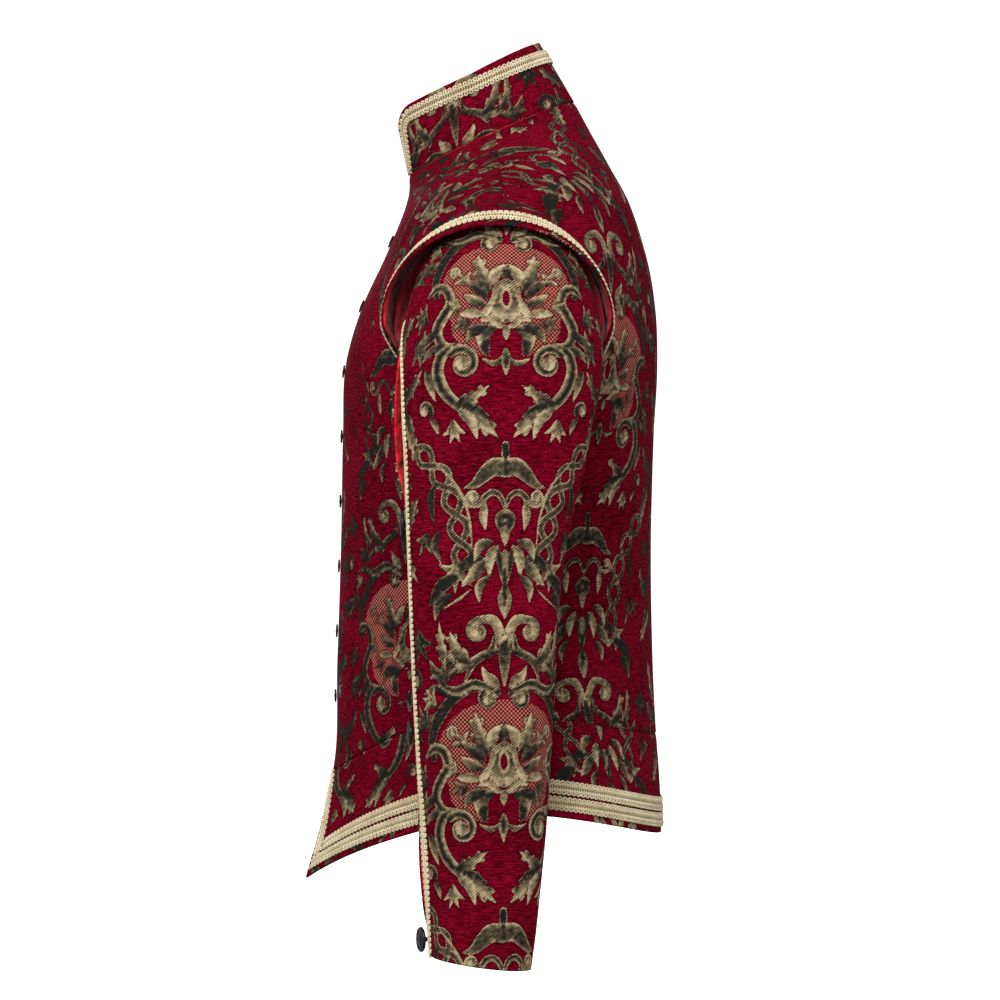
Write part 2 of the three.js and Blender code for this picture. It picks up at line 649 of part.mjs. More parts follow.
// The sleeve: an outer piece, an under piece with its lining, and braid down the outer piece's slit edge.
const outerRoot = [...FRONT_ANGLES.slice(0, 5).reverse(), ...BACK_ANGLES.slice(1, 6)];
const underRoot = [...BACK_ANGLES.slice(5), ...FRONT_ANGLES.slice(4, -1).reverse().map((a) => a + FULL)];
const SLEEVE_ROWS = [
  0, 12, 28, 48, 72, 100, 135, 170, 210, 250, 284, 330, 375, 420, 467, 515, 560, 600, 642, CUFF,
];
// Degrees that span a distance round the sleeve at its front edge.
function degreesFor(distance, s, degrees) {
  return distance / sleeveTube(degrees, s).distanceTo(sleeveTube(degrees + 1, s));
}
const SLIT_MARGIN = 1.2;
const SLEEVE_BRAID = 8.5; // the braid down the slit is narrower than the rest
const outerColumns = [
  { kind: 'edge', distance: 0 },
  { kind: 'edge', distance: SLIT_MARGIN },
  { kind: 'edge', distance: SLIT_MARGIN + SLEEVE_BRAID },
  ...outerRoot.slice(1).map((angle) => ({ kind: 'angle', angle })),
];
const outerSleeve = gridOf(SLEEVE_ROWS, outerColumns, (s, col) => {
  const seamGap = degreesFor(SEAM / 2, s, BACK_SEAM);
  let degrees = SLIT + degreesFor(col.distance, s, SLIT);
  if (col.kind === 'angle') {
    const share = (col.angle - SLIT) / (BACK_SEAM - SLIT);
    degrees = lerp(SLIT, BACK_SEAM - seamGap, share);
  }
  const n = sleeveNormal(sleeveTube, degrees, s);
  return { p: sleeveTube(degrees, s), n: col.distance === 0 ? squared(n) : n };
});
const underGrid = gridOf(SLEEVE_ROWS, underRoot, (s, angle) => {
  const start = BACK_SEAM + degreesFor(SEAM / 2, s, BACK_SEAM);
  const end = FULL + SLIT - degreesFor(SLIT_GAP, s, SLIT);
  const degrees = lerp(start, end, (angle - BACK_SEAM) / (FULL + SLIT - BACK_SEAM));
  const n = sleeveNormal(underSleeve, degrees, s);
  return { p: underSleeve(degrees, s), n: angle === FULL + SLIT ? squared(n) : n };
});
const sleeveLiningGrid = patch(underGrid, 1, SLEEVE_ROWS.length - 2, 0, underRoot.length - 1);

// A round button with a raised rim, on a shank. up is where its back is above a surface point, and foot
// is where its shank starts, just clear of the cloth.
function button(place, { radius, height, shank, foot }, up) {
  const outline = [[0, foot - up], [shank, foot - up], [shank, 0], [0.78 * radius, 0]];
  const rim = [[1, 0.3], [1, 0.62], [0.88, 0.8], [0.76, 0.62], [0.4, 0.9], [0, 1]];
  const face = rim.map(([r, h]) => [r * radius, h * height]);
  const profile = [...outline, ...face].map(([r, h]) => new THREE.Vector2(r, h));
  const geometry = new THREE.LatheGeometry(profile, BUTTON_SIDES);
  const turned = new THREE.Quaternion().setFromUnitVectors(new THREE.Vector3(0, 1, 0), place.n);
  const back = place.p.clone().addScaledVector(place.n, up);
  geometry.applyMatrix4(new THREE.Matrix4().compose(back, turned, new THREE.Vector3(1, 1, 1)));
  return geometry;
}

// A sleeve button is sewn to the under sleeve and stands clear of the braid that it holds.
const sleeveButtonPlaces = SLEEVE_BUTTONS.map(({ s, tilt }) => {
  const degrees = SLIT - degreesFor(SLEEVE_BUTTON.pastSlit, s, SLIT);
  const p = sleeveTube(degrees, s);
  const n = new THREE.Vector3(Math.sin(rad(tilt)), -Math.cos(rad(tilt)), 0);
  const fold = sleeveTube(SLIT, s).sub(p).dot(n);
  const up = fold + BRAID_LIFT + BRAID_THICK + SEAM + (SLEEVE_BUTTON.radius * Math.sin(rad(tilt))) / 2;
  return { p, n, up };
});

for (const [side, turned] of [['left', (grid) => grid], ['right', mirrored]]) {
  add('wing_' + side, wallOn(turned(wingGrid), 0, -CLOTH), 'brocade');
  add('wing_lining_' + side, liningOn(turned(wingLiningGrid)), 'satin');
  add('wing_braid_' + side, braidOn(turned(wingBraidGrid)), 'braid');
  add('sleeve_outer_' + side, wallOn(turned(outerSleeve), 0, -CLOTH), 'brocade');
  add('sleeve_under_' + side, wallOn(turned(underGrid), 0, -CLOTH), 'brocade');
  add('sleeve_lining_' + side, liningOn(turned(sleeveLiningGrid)), 'satin');
  const slitBraid = patch(outerSleeve, 2, SLEEVE_ROWS.length - 1, 1, 2);
  add('sleeve_braid_' + side, braidOn(turned(slitBraid)), 'braid');
  const [places] = turned([sleeveButtonPlaces]);
  places.forEach((place, i) => {
    const { up } = sleeveButtonPlaces[i];
    add('sleeve_button_' + side + '_' + (i + 1), button(place, SLEEVE_BUTTON, up), 'button');
  });
}

// Front buttons stand on the middle line of the lap, which is flat across and from row to row.
const lapMiddle = leftFront.map(([edge, inward]) => ({
  p: edge.p.clone().lerp(inward.p, 0.5),
  n: edge.n.clone().add(inward.n).normalize(),
}));
function lapAtHeight(z) {
  const above = lapMiddle.findIndex(({ p }) => p.z > z);
  const low = lapMiddle[above - 1];
  const high = lapMiddle[above];
  const t = (z - low.p.z) / (high.p.z - low.p.z);
  return { p: low.p.clone().lerp(high.p, t), n: low.n.clone().lerp(high.n, t).normalize() };
}
for (let i = 0; i < FRONT_BUTTON_COUNT; i += 1) {
  const place = lapAtHeight(FRONT_BUTTON_TOP - i * FRONT_BUTTON_STEP);
  add('front_button_' + (i + 1), button(place, FRONT_BUTTON, FRONT_BUTTON.up), 'button');
}

export default coat;
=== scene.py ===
# A doublet-style costume coat in crimson brocade, as it hangs when worn: fitted bodice, pointed basque,
# open stand collar, shoulder wings, sleeves open along the front seam, and looped gimp braid.
# Shapes are worked out in millimetres, in the frame of the solids: +Z up, the wearer faces -Y and the
# wearer's left arm is at +X. Meshes are written in metres.
import math

import bpy
import numpy as np
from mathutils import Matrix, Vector


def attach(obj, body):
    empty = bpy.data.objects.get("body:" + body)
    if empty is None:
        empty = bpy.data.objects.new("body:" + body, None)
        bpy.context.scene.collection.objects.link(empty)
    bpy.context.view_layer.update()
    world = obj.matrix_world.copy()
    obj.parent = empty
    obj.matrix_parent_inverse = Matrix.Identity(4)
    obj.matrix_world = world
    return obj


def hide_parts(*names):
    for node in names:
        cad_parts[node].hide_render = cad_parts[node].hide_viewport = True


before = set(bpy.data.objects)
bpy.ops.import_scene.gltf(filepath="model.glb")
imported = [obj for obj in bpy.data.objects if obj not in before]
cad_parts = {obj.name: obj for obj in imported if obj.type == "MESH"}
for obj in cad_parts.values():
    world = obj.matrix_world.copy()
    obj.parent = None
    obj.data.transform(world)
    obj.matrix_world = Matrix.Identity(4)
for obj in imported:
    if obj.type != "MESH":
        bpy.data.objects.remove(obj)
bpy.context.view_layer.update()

MM = 0.001
CLOTH = 1.8
SATIN = 0.6
SEAM = 0.3
ARM_SEAM = 0.5
BRAID = 13.0
BRAID_LIFT = 0.35
MARGIN = 5.0
ROW_GAP = 1.0
UPPER_ROW = MARGIN + BRAID + ROW_GAP

# The bodice and basque as closed rings of the figure. s runs up the cloth at the side.
RING_COLUMNS = (
    "s", "z_front", "z_side", "z_back", "half", "y_front", "y_side", "y_back",
    "pinch", "keel", "dip", "rise", "beak",
)
RINGS = (
    (0, -652, -571, -599, 186, -183, 2, 146.5, 1.85, 1.7, 2, 1.9, 0.24),
    (45, -598, -530, -555, 171, -159, 2, 144.8, 1.7, 1.5, 2.3, 1.9, 0.12),
    (88, -546, -492, -512, 159, -142.8, 1, 141.7, 1.35, 1.15, 2.5, 2, 0),
    (158, -450, -424, -433, 153, -138.8, 2, 138, 1.1, 1, 2.2, 2, 0),
    (240, -345, -341, -343, 160, -135.4, 3, 137, 0.96, 1, 2, 2, 0),
    (330, -249, -251, -251, 176, -133.6, 4, 139.6, 0.9, 1, 2, 2, 0),
    (391, -189, -190, -190, 187, -131, 5, 142.8, 0.9, 1, 2, 2, 0),
    (442, -140, -140, -140, 196, -117, 6, 141, 0.92, 1, 2, 2, 0),
    (490, -93, -92, -92, 201, -95.5, 7, 132.5, 1, 1, 2, 2, 0),
    (525, -62, -59, -50, 195, -82.5, 7, 119, 1, 1, 2, 2, 0),
    (566, -47, -39, -14, 165, -77.6, 6, 100, 1.05, 1, 1.6, 1.6, 0),
    (620, -35, -15, 15, 116, -75.4, 3, 84, 1.15, 1, 1.2, 1.2, 0),
    (672, -22, 11, 42, 72, -75.6, 0, 69.5, 1.25, 1, 1, 1, 0),
)
BEAK_POWER = 8
HEM, WAIST, NECK = 0.0, 88.0, 672.0
HIGH_BODY = 400.0  # the body is upright below this s

# The armhole is an oval in the side view.
ARM_Y, ARM_Z, ARM_HALF, ARM_UP, ARM_DOWN = 6.0, -172.0, 74.0, 112.0, 80.0
ARMHOLE_ROWS = 84
SLIT = -90.0  # degrees round the sleeve from its outer side, minus to the front
SLIT_GAP = 0.6
SLIT_MARGIN = 1.2
SLEEVE_BRAID = 8.5
BACK_SEAM = 105.0
FULL = 360.0

SLEEVE_COLUMNS = ("s", "x_outer", "z_outer", "x_inner", "z_inner", "y_mid", "half_depth", "point")
SLEEVE = (
    (20, 222, -71, 186, -256, 6, 79, 0),
    (48, 243, -89, 192, -259.5, 6.4, 82, 0.02),
    (80, 261, -115, 196, -263, 6.7, 83.2, 0.04),
    (120, 275, -153, 198.5, -268, 6, 82, 0.05),
    (170, 284, -203, 200.5, -277, 3, 78.3, 0.06),
    (225, 288, -258, 202, -296, 0.9, 74.3, 0.06),
    (290, 291, -323, 203.5, -340, -4.5, 67, 0.06),
    (360, 294, -393, 206, -398, -7.8, 61.2, 0.06),
    (430, 295, -463, 208.5, -464, -8.2, 58, 0.08),
    (500, 293.5, -533, 210.5, -532, -8.7, 54.3, 0.2),
    (570, 290, -603, 212, -601, -9.5, 50.2, 0.5),
    (628, 286.5, -660, 213.5, -657, -10.1, 44.8, 0.14),
    (660, 284.5, -691, 214, -688, -11.2, 41.4, 0),
)
HEAD, CUFF = 20.0, 660.0
CUFF_TILT = 5.5
STRAIGHT_SLEEVE = 170.0  # the sleeve's outer side is upright below this s

GAPE_COLUMNS = ("s", "out")
GAPE = (
    (0, 0), (60, 3), (100, 6.5), (170, 9.5), (235, 8.5), (265, 3.5), (284, 0), (375, 2.2),
    (467, 0.2), (530, 1.5), (590, 3.6), (625, 2.6), (643, 0), (660, 0.4),
)

SLEEVE_BUTTONS = ((284, 4), (468, 8), (646, 18))  # s and tilt in degrees
SLEEVE_BUTTON = {"radius": 10.5, "height": 4.2, "shank": 2.0, "foot": 1.6}
SLEEVE_BUTTON_PAST_SLIT = 7.0
FRONT_BUTTON = {"radius": 6.0, "height": 2.0, "shank": 2.4, "foot": 0.3}
FRONT_BUTTON_UP = 0.5
FRONT_BUTTON_TOP, FRONT_BUTTON_STEP, FRONT_BUTTON_COUNT = -81.0, 57.0, 8

# The wing's free edge is an oval in the side view.
WING_Y, WING_Z, WING_HALF, WING_UP, WING_DOWN = 2.0, -157.0, 97.0, 77.0, 70.0
WING_X_TOP, WING_X_SIDE = 248.0, 209.0
WING_BOW = 4.0
WING_FULL_TO, WING_END, WING_THIN = 92.0, 126.0, 0.16
WING_ROOT_OUT, WING_ROOT_X = 3.5, 2.4

COLLAR_TOP = {
    "open": 28.0, "half": 67.0, "y_front": -88.5, "y_side": -21.0, "y_back": 39.5,
    "z_front": 31.0, "z_side": 61.0, "z_back": 93.5,
}
COLLAR_MARGIN_FRONT, COLLAR_MARGIN_BACK = 3.0, 8.0
COLLAR_CORNER = 22.0
COLLAR_BASE_EDGE = 1.5

LAP = 12.0
LAP_STEP = 2.5
LAP_EASE = 34.0
BASQUE_OPEN_WAIST, BASQUE_OPEN_HEM = 1.5, 24.0

QUARTER = math.pi / 2


# Curves and surfaces


def lerp(a, b, t):
    return a + (b - a) * t


def between(grid, i, i_next, j, ti, tj):
    """A grid's value between rows i and i_next and columns j and j + 1."""
    return lerp(lerp(grid[i, j], grid[i, j + 1], tj), lerp(grid[i_next, j], grid[i_next, j + 1], tj), ti)


def smoothstep(x, low, high):
    t = np.clip((x - low) / (high - low), 0, 1)
    return t * t * (3 - 2 * t)


def cubic(start, end, leave, arrive, t):
    """From start to end with the given slopes, each over the whole length."""
    ends = start * (1 + 2 * t) * (1 - t) ** 2 + end * t * t * (3 - 2 * t)
    return ends + (leave * t * (1 - t) ** 2 - arrive * t * t * (1 - t))


def curve_through(s, y):
    """A smooth curve through the rows of one column, straight beyond its ends."""
    s = np.array(s, float)
    y = np.array(y, float)
    step = np.diff(s)
    chord = np.diff(y) / step
    slope = np.empty_like(y)
    slope[0], slope[-1] = chord[0], chord[-1]
    slope[1:-1] = (chord[:-1] * step[1:] + chord[1:] * step[:-1]) / (step[1:] + step[:-1])

    def at(x):
        x = np.asarray(x, float)
        i = np.clip(np.searchsorted(s, x, side="right") - 1, 0, len(s) - 2)
        h = s[i + 1] - s[i]
        t = np.clip((x - s[i]) / h, 0, 1)
        inside = cubic(y[i], y[i + 1], h * slope[i], h * slope[i + 1], t)
        beyond = slope[0] * np.minimum(x - s[0], 0) + slope[-1] * np.maximum(x - s[-1], 0)
        return inside + beyond

    return at


def curves_of(names, rows):
    s = [row[0] for row in rows]
    return {name: curve_through(s, [row[k] for row in rows]) for k, name in enumerate(names) if k}


ring = curves_of(RING_COLUMNS, RINGS)
arm = curves_of(SLEEVE_COLUMNS, SLEEVE)
gape_out = curves_of(GAPE_COLUMNS, GAPE)["out"]


def torso(turn, s):
    """A point of the figure. turn is 0 in front, a quarter turn at the side, and minus on the right."""
    turn, s = np.broadcast_arrays(np.asarray(turn, float), np.asarray(s, float))
    c = np.cos(turn)
    reach = np.abs(c)
    front = c >= 0
    half, y_side, z_side = ring["half"](s), ring["y_side"](s), ring["z_side"](s)
    power = np.where(front, ring["pinch"](s), 1.0)
    x = np.where(turn < 0, -1.0, 1.0) * half * np.abs(np.sin(turn)) ** power
    y_end = np.where(front, ring["y_front"](s), ring["y_back"](s))
    y = y_side + (y_end - y_side) * reach ** np.where(front, ring["keel"](s), 1.0)
    fall = lerp(reach ** ring["dip"](s), reach ** BEAK_POWER, ring["beak"](s))
    fall = np.where(front, fall, reach ** ring["rise"](s))
    z_end = np.where(front, ring["z_front"](s), ring["z_back"](s))
    return np.stack([x, y, z_side + (z_end - z_side) * fall], -1)


def turn_at_x(x, s):
    share = np.minimum(1, np.abs(x) / ring["half"](s))
    return np.sign(x) * np.arcsin(share ** (1 / ring["pinch"](s)))


def turn_for(distance, turn, s):
    """The turn that spans a short distance round a ring."""
    span = np.linalg.norm(torso(turn, s) - torso(np.asarray(turn) + 0.01, s), axis=-1)
    return distance * 0.01 / span


def walk(turn, s, distance):
    """The turn reached by walking a distance round a ring."""
    steps = 12
    at = np.array(np.broadcast_arrays(turn, s)[0], float)
    for _ in range(steps):
        ahead = np.linalg.norm(torso(at + 0.01, s) - torso(at, s), axis=-1)
        at = at + 0.01 * distance / steps / np.maximum(ahead, 0.05)
    return at


def armhole_place(degrees):
    """The armhole's edge at an angle round it, 0 at the top and minus to the front, as turn and s."""
    a = np.radians(np.asarray(degrees, float))
    y = ARM_Y + ARM_HALF * np.sin(a)
    z = ARM_Z + np.where(np.cos(a) > 0, ARM_UP, ARM_DOWN) * np.cos(a)
    turn = np.full(a.shape, QUARTER)
    s = np.full(a.shape, 400.0)
    for _ in range(30):
        s = s + (z - torso(turn, s)[..., 2]) * 0.9
        y_side = ring["y_side"](s)
        front = y < y_side
        y_end = np.where(front, ring["y_front"](s), ring["y_back"](s))
        reach = np.clip((y - y_side) / (y_end - y_side), 0, 1)
        c = reach ** (1 / np.where(front, ring["keel"](s), 1.0))
        turn = np.where(front, np.arccos(c), math.pi - np.arccos(c))
    return turn, s


def armhole(degrees):
    return torso(*armhole_place(degrees))


def in_tube(degrees, s):
    a = np.radians(degrees)
    across = np.cos(a) / 2
    x_out, x_in, z_out, z_in = (arm[k](s) for k in ("x_outer", "x_inner", "z_outer", "z_inner"))
    drop = CUFF_TILT * smoothstep(s, CUFF - 60, CUFF) * np.sin(a)
    flat = np.where(np.sin(a) < 0, arm["point"](s), 0)
    depth = lerp(np.sin(a), np.abs(np.cos(a)) - 1, flat)
    x = (x_out + x_in) / 2 + (x_out - x_in) * across
    y = arm["y_mid"](s) + arm["half_depth"](s) * depth
    z = (z_out + z_in) / 2 + (z_out - z_in) * across - drop
    return np.stack([x, y, z], -1)


def sleeve_tube(degrees, s):
    """The sleeve, round it in degrees and s down it from the armhole."""
    degrees, s = np.broadcast_arrays(np.asarray(degrees, float), np.asarray(s, float))
    p = in_tube(degrees, np.maximum(s, HEAD))
    near = s < HEAD
    if near.any():
        d = degrees[near]
        t = np.clip(s[near] / HEAD, 0, 1)[..., None]
        root = armhole(d) + np.array([ARM_SEAM, 0, 0])
        joined = in_tube(d, HEAD)
        arrive = (in_tube(d, HEAD + 0.5) - joined) * (HEAD / 0.5)
        p[near] = cubic(root, joined, 2 * (joined - root) - arrive, arrive, t)
    return p


def under_sleeve(degrees, s):
    """The under sleeve bulges forward between its buttons."""
    p = sleeve_tube(degrees, s)
    edge = FULL + SLIT
    p[..., 1] -= gape_out(s) * smoothstep(np.asarray(degrees), edge - 75, edge)
    return p


def degrees_for(distance, s, degrees):
    span = np.linalg.norm(sleeve_tube(degrees, s) - sleeve_tube(np.asarray(degrees) + 1, s), axis=-1)
    return distance / span


def wing_root(degrees):
    a = np.radians(degrees)
    p = armhole(degrees)
    p[..., 0] += WING_ROOT_X
    p[..., 1] += WING_ROOT_OUT * np.sin(a)
    p[..., 2] += WING_ROOT_OUT * np.cos(a)
    return p


def wing_edge(degrees):
    a = np.radians(degrees)
    c = np.cos(a)
    x = WING_X_SIDE + (WING_X_TOP - WING_X_SIDE) * np.maximum(0, c) ** 2
    y = WING_Y + WING_HALF * np.sin(a)
    z = WING_Z + np.where(c > 0, WING_UP, WING_DOWN) * c
    full = lerp(1, WING_THIN, smoothstep(np.abs(degrees), WING_FULL_TO, WING_END))
    return lerp(wing_root(degrees), np.stack([x, y, z], -1), full[..., None])


def wing(degrees, share):
    """The wing, at an angle round the armhole and a share of its depth: 0 at its root, 1 at its free edge."""
    degrees, share = np.broadcast_arrays(np.asarray(degrees, float), np.asarray(share, float))
    root, edge = wing_root(degrees), wing_edge(degrees)
    a = np.radians(degrees)
    out = np.stack([np.full(a.shape, 0.5), np.sin(a), np.cos(a)], -1) / math.sqrt(1.25)
    depth = np.linalg.norm(edge - root, axis=-1)
    bow = WING_BOW * np.sin(math.pi * share) * depth / 50
    return lerp(root, edge, share[..., None]) + out * bow[..., None]


def wing_length(degrees):
    return np.linalg.norm(wing_root(degrees) - wing_edge(degrees), axis=-1)


def collar_top_loop(turn):
    k = COLLAR_TOP
    c, q = np.cos(turn), np.sin(turn)
    x = np.where(c >= 0, k["open"] * c * c + k["half"] * q * q, k["half"] * q)
    y_end = np.where(c >= 0, k["y_front"], k["y_back"])
    z_end = np.where(c >= 0, k["z_front"], k["z_back"])
    y = k["y_side"] + (y_end - k["y_side"]) * np.abs(c)
    z = k["z_side"] + (z_end - k["z_side"]) * np.abs(c)
    return np.stack([x, y, z], -1)


def collar_seat(turn):
    return torso(turn, NECK) + np.array([0, 0, SEAM + 0.1])


def evenly(curve, start, end):
    """The curve walked evenly, as a function of the share walked, and its length."""
    turns = np.linspace(start, end, 161)
    steps = np.linalg.norm(np.diff(curve(turns), axis=0), axis=-1)
    lengths = np.concatenate([[0], np.cumsum(steps)])
    return (lambda share: curve(np.interp(share * lengths[-1], lengths, turns))), lengths[-1]


collar_base, collar_base_length = evenly(collar_seat, float(turn_at_x(COLLAR_BASE_EDGE, NECK)), math.pi)
collar_top, collar_top_length = evenly(collar_top_loop, 0.0, math.pi)


def collar(along, up):
    """along is 0 at the left front edge, 1 at the middle back and 2 at the right front edge; up is 0 to 1."""
    along, up = np.broadcast_arrays(np.asarray(along, float), np.asarray(up, float))
    share = np.where(along <= 1, along, 2 - along)
    p = lerp(collar_base(share), collar_top(share), up[..., None])
    p[..., 0] *= np.where(along > 1, -1, 1)
    return p


def collar_height(along):
    return np.linalg.norm(collar(along, 0) - collar(along, 1), axis=-1)


# Grids of points on a surface


def normals_of(p, away):
    """Outward normals of a grid of points. away is a point well inside it."""
    n = np.cross(np.gradient(p, axis=0), np.gradient(p, axis=1))
    n /= np.maximum(np.linalg.norm(n, axis=-1, keepdims=True), 1e-9)
    facing = (n * (p - np.asarray(away))).sum()
    return n if facing > 0 else -n


def even_rows(surface, s_rows, start, end, count):
    """Rows at the given s, each with count points spread evenly from start to end along it.
    Gives the points, the parameter of each and its distance from the start of its row."""
    fine = np.linspace(0, 1, 200)
    param = lerp(start[:, None], end[:, None], fine)
    s = np.broadcast_to(s_rows[:, None], param.shape)
    steps = np.linalg.norm(np.diff(surface(param, s), axis=1), axis=-1)
    length = np.concatenate([np.zeros((len(s_rows), 1)), np.cumsum(steps, axis=1)], axis=1)
    even = np.empty((len(s_rows), count))
    walked = np.empty_like(even)
    for i in range(len(s_rows)):
        walked[i] = np.linspace(0, length[i, -1], count)
        even[i] = np.interp(walked[i], length[i], param[i])
    return surface(even, np.broadcast_to(s_rows[:, None], even.shape)), even, walked


def distance_up(surface, param, s, from_s, parts=24):
    """The distance along the cloth from from_s to s, at a fixed place round it."""
    total = np.zeros(param.shape)
    before = surface(param, np.full(param.shape, from_s))
    for k in range(1, parts + 1):
        ahead = surface(param, lerp(from_s, s, k / parts))
        total += np.linalg.norm(ahead - before, axis=-1)
        before = ahead
    return total


def mirror_x(p):
    return p * np.array([-1, 1, 1])


def steps_between(low, high, spacing):
    return np.linspace(low, high, max(2, int(round(abs(high - low) / spacing)) + 1))


def bodice_rows(side, spacing):
    """s of each row of a front (side -1) or a back (side 1), and the turn of its far end: the side seam,
    the armhole's edge or the shoulder seam."""
    tip = armhole_place(0.0)
    under = armhole_place(180.0 * side)
    low = steps_between(WAIST + SEAM / 2, float(under[1]), spacing)[:-1]
    beside_turn, beside = armhole_place(np.linspace(180.0 * side, 0.0, ARMHOLE_ROWS))
    high = steps_between(float(tip[1]), NECK, spacing)[1:]
    seam_gap = SEAM / 2 * side

    def seam_turn(s):
        return QUARTER + turn_for(seam_gap, QUARTER, s)

    s = np.concatenate([low, beside, high])
    turn = np.concatenate([seam_turn(low), beside_turn, seam_turn(high)])
    return s, turn


def body_height(turn, s):
    """Distance down the cloth from the level of the origin, measured along the cloth above the chest."""
    flat = -torso(turn, np.minimum(s, HIGH_BODY))[..., 2]
    above = np.maximum(s, HIGH_BODY)
    return flat - np.where(s > HIGH_BODY, distance_up(torso, turn, above, HIGH_BODY), 0)


def body_away(p):
    return np.stack([np.zeros_like(p[..., 0]), np.full_like(p[..., 0], 5.0), p[..., 2] - 20], -1)


def basque_length(turn):
    middle = torso(turn, WAIST / 2)
    low = np.linalg.norm(torso(turn, HEM) - middle, axis=-1)
    return low + np.linalg.norm(torso(turn, WAIST) - middle, axis=-1)


def basque_s(up, turn):
    """s of a place at a distance up from the hem."""
    return up / basque_length(turn) * (WAIST - SEAM / 2)


def basque_edge(s):
    return turn_at_x(lerp(BASQUE_OPEN_HEM, BASQUE_OPEN_WAIST, s / WAIST), s)


# Meshes
INNER_EVERY = 4  # the inner face of a sheet has every fourth line of the outer one


def link_mesh(name, verts, faces, materials, face_material=None, fields=None):
    mesh = bpy.data.meshes.new(name)
    mesh.from_pydata(verts * MM, [], faces, shade_flat=False)
    for material in materials:
        mesh.materials.append(material)
    if face_material is not None:
        mesh.polygons.foreach_set("material_index", face_material)
    for key, values in (fields or {}).items():
        kind, target = ("FLOAT_VECTOR", "vector") if values.ndim == 2 else ("FLOAT", "value")
        attribute = mesh.attributes.new(key, kind, "POINT")
        attribute.data.foreach_set(target, values.astype(np.float32).ravel())
    piece = bpy.data.objects.new(name, mesh)
    bpy.context.scene.collection.objects.link(piece)
    return piece


def rim_of(rows, cols):
    """The border of a grid as row and column numbers, once round."""
    top = [(0, j) for j in range(cols)]
    right = [(i, cols - 1) for i in range(1, rows)]
    bottom = [(rows - 1, j) for j in range(cols - 2, -1, -1)]
    left = [(i, 0) for i in range(rows - 2, 0, -1)]
    return np.array(top + right + bottom + left)


def quads_of(rows, cols, first=0, closed=False):
    """The faces of a grid, closed where its last column joins its first."""
    i, j = np.meshgrid(np.arange(rows - 1), np.arange(cols if closed else cols - 1), indexing="ij")
    a, b = (first + i * cols + k for k in (j, (j + 1) % cols))
    return np.stack([a, b, b + cols, a + cols], -1).reshape(-1, 4)


def coarse_lines(count):
    parts = max(1, int(round((count - 1) / INNER_EVERY)))
    return np.unique(np.round(np.linspace(0, count - 1, parts + 1)).astype(int))


def shell(name, p, n, thickness, materials, fields):
    """A closed thin sheet: a fine outer face, a rounded rim and a coarser inner face."""
    rows, cols = p.shape[:2]
    rim = rim_of(rows, cols)
    ri, rj = rim[:, 0], rim[:, 1]
    outer = p.reshape(-1, 3)
    # the rim bulges past the border by part of the thickness
    inside_i = np.clip(ri, 1, rows - 2)
    inside_j = np.clip(rj, 1, cols - 2)
    past = p[ri, rj] - p[inside_i, inside_j]
    past -= (past * n[ri, rj]).sum(-1, keepdims=True) * n[ri, rj]
    past /= np.maximum(np.linalg.norm(past, axis=-1, keepdims=True), 1e-9)
    bulge = p[ri, rj] - n[ri, rj] * thickness * 0.5 + past * min(0.12, thickness * 0.1)
    li, lj = coarse_lines(rows), coarse_lines(cols)
    inner_p = (p - n * thickness)[np.ix_(li, lj)]
    first_bulge = len(outer)
    first_inner = first_bulge + len(rim)
    verts = np.concatenate([outer, bulge, inner_p.reshape(-1, 3)])
    faces = quads_of(rows, cols)
    inner_faces = quads_of(len(li), len(lj), first_inner)[:, ::-1]
    outer_ids = ri * cols + rj
    bulge_ids = first_bulge + np.arange(len(rim))
    follow = np.roll(np.arange(len(rim)), -1)
    strip = np.stack([outer_ids, bulge_ids, bulge_ids[follow], outer_ids[follow]], -1)
    # each rim place goes to the nearest place of the coarse inner border
    near_i = np.abs(ri[:, None] - li[None, :]).argmin(1)
    near_j = np.abs(rj[:, None] - lj[None, :]).argmin(1)
    inner_ids = first_inner + near_i * len(lj) + near_j
    last = np.stack([bulge_ids, inner_ids, inner_ids[follow], bulge_ids[follow]], -1)
    three = inner_ids == inner_ids[follow]
    triangles = np.stack([bulge_ids, inner_ids, bulge_ids[follow]], -1)[three]
    quads = np.concatenate([faces, inner_faces, strip, last[~three]])
    a, b, c = (verts[quads[: len(faces), k]] for k in range(3))
    flip = (np.cross(b - a, c - a) * n[:-1, :-1].reshape(-1, 3)).sum() < 0
    if flip:
        quads = quads[:, ::-1]
        triangles = triangles[:, ::-1]
    all_faces = list(quads) + list(triangles)
    is_inner = np.zeros(len(all_faces), int)
    is_inner[len(faces): len(faces) + len(inner_faces)] = 1
    made = {}
    for key, values in fields.items():
        flat = values.reshape(rows * cols, -1)
        whole = np.concatenate([flat, values[ri, rj].reshape(len(rim), -1),
                                values[np.ix_(li, lj)].reshape(len(li) * len(lj), -1)])
        made[key] = whole if whole.shape[1] > 1 else whole[:, 0]
    return link_mesh(name, verts, all_faces, materials, is_inner, made)


def place(piece, slot, *nodes):
    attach(piece, "root")
    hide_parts(*nodes)


def sheet_piece(name, p, n, fields, slot="brocade"):
    thickness, materials = SHEETS[slot]
    piece = shell(name, p, n, thickness, materials, fields)
    place(piece, slot, name)


# Materials


class Wire:
    """A value that shader nodes work out. Sums and products of wires add the nodes for them."""

    def __init__(self, nodes, socket):
        self.nodes, self.socket = nodes, socket

    def __add__(self, other):
        return self.nodes.math("ADD", self, other)

    def __sub__(self, other):
        return self.nodes.math("SUBTRACT", self, other)

    def __rsub__(self, other):
        return self.nodes.math("SUBTRACT", other, self)

    def __mul__(self, other):
        return self.nodes.math("MULTIPLY", self, other)


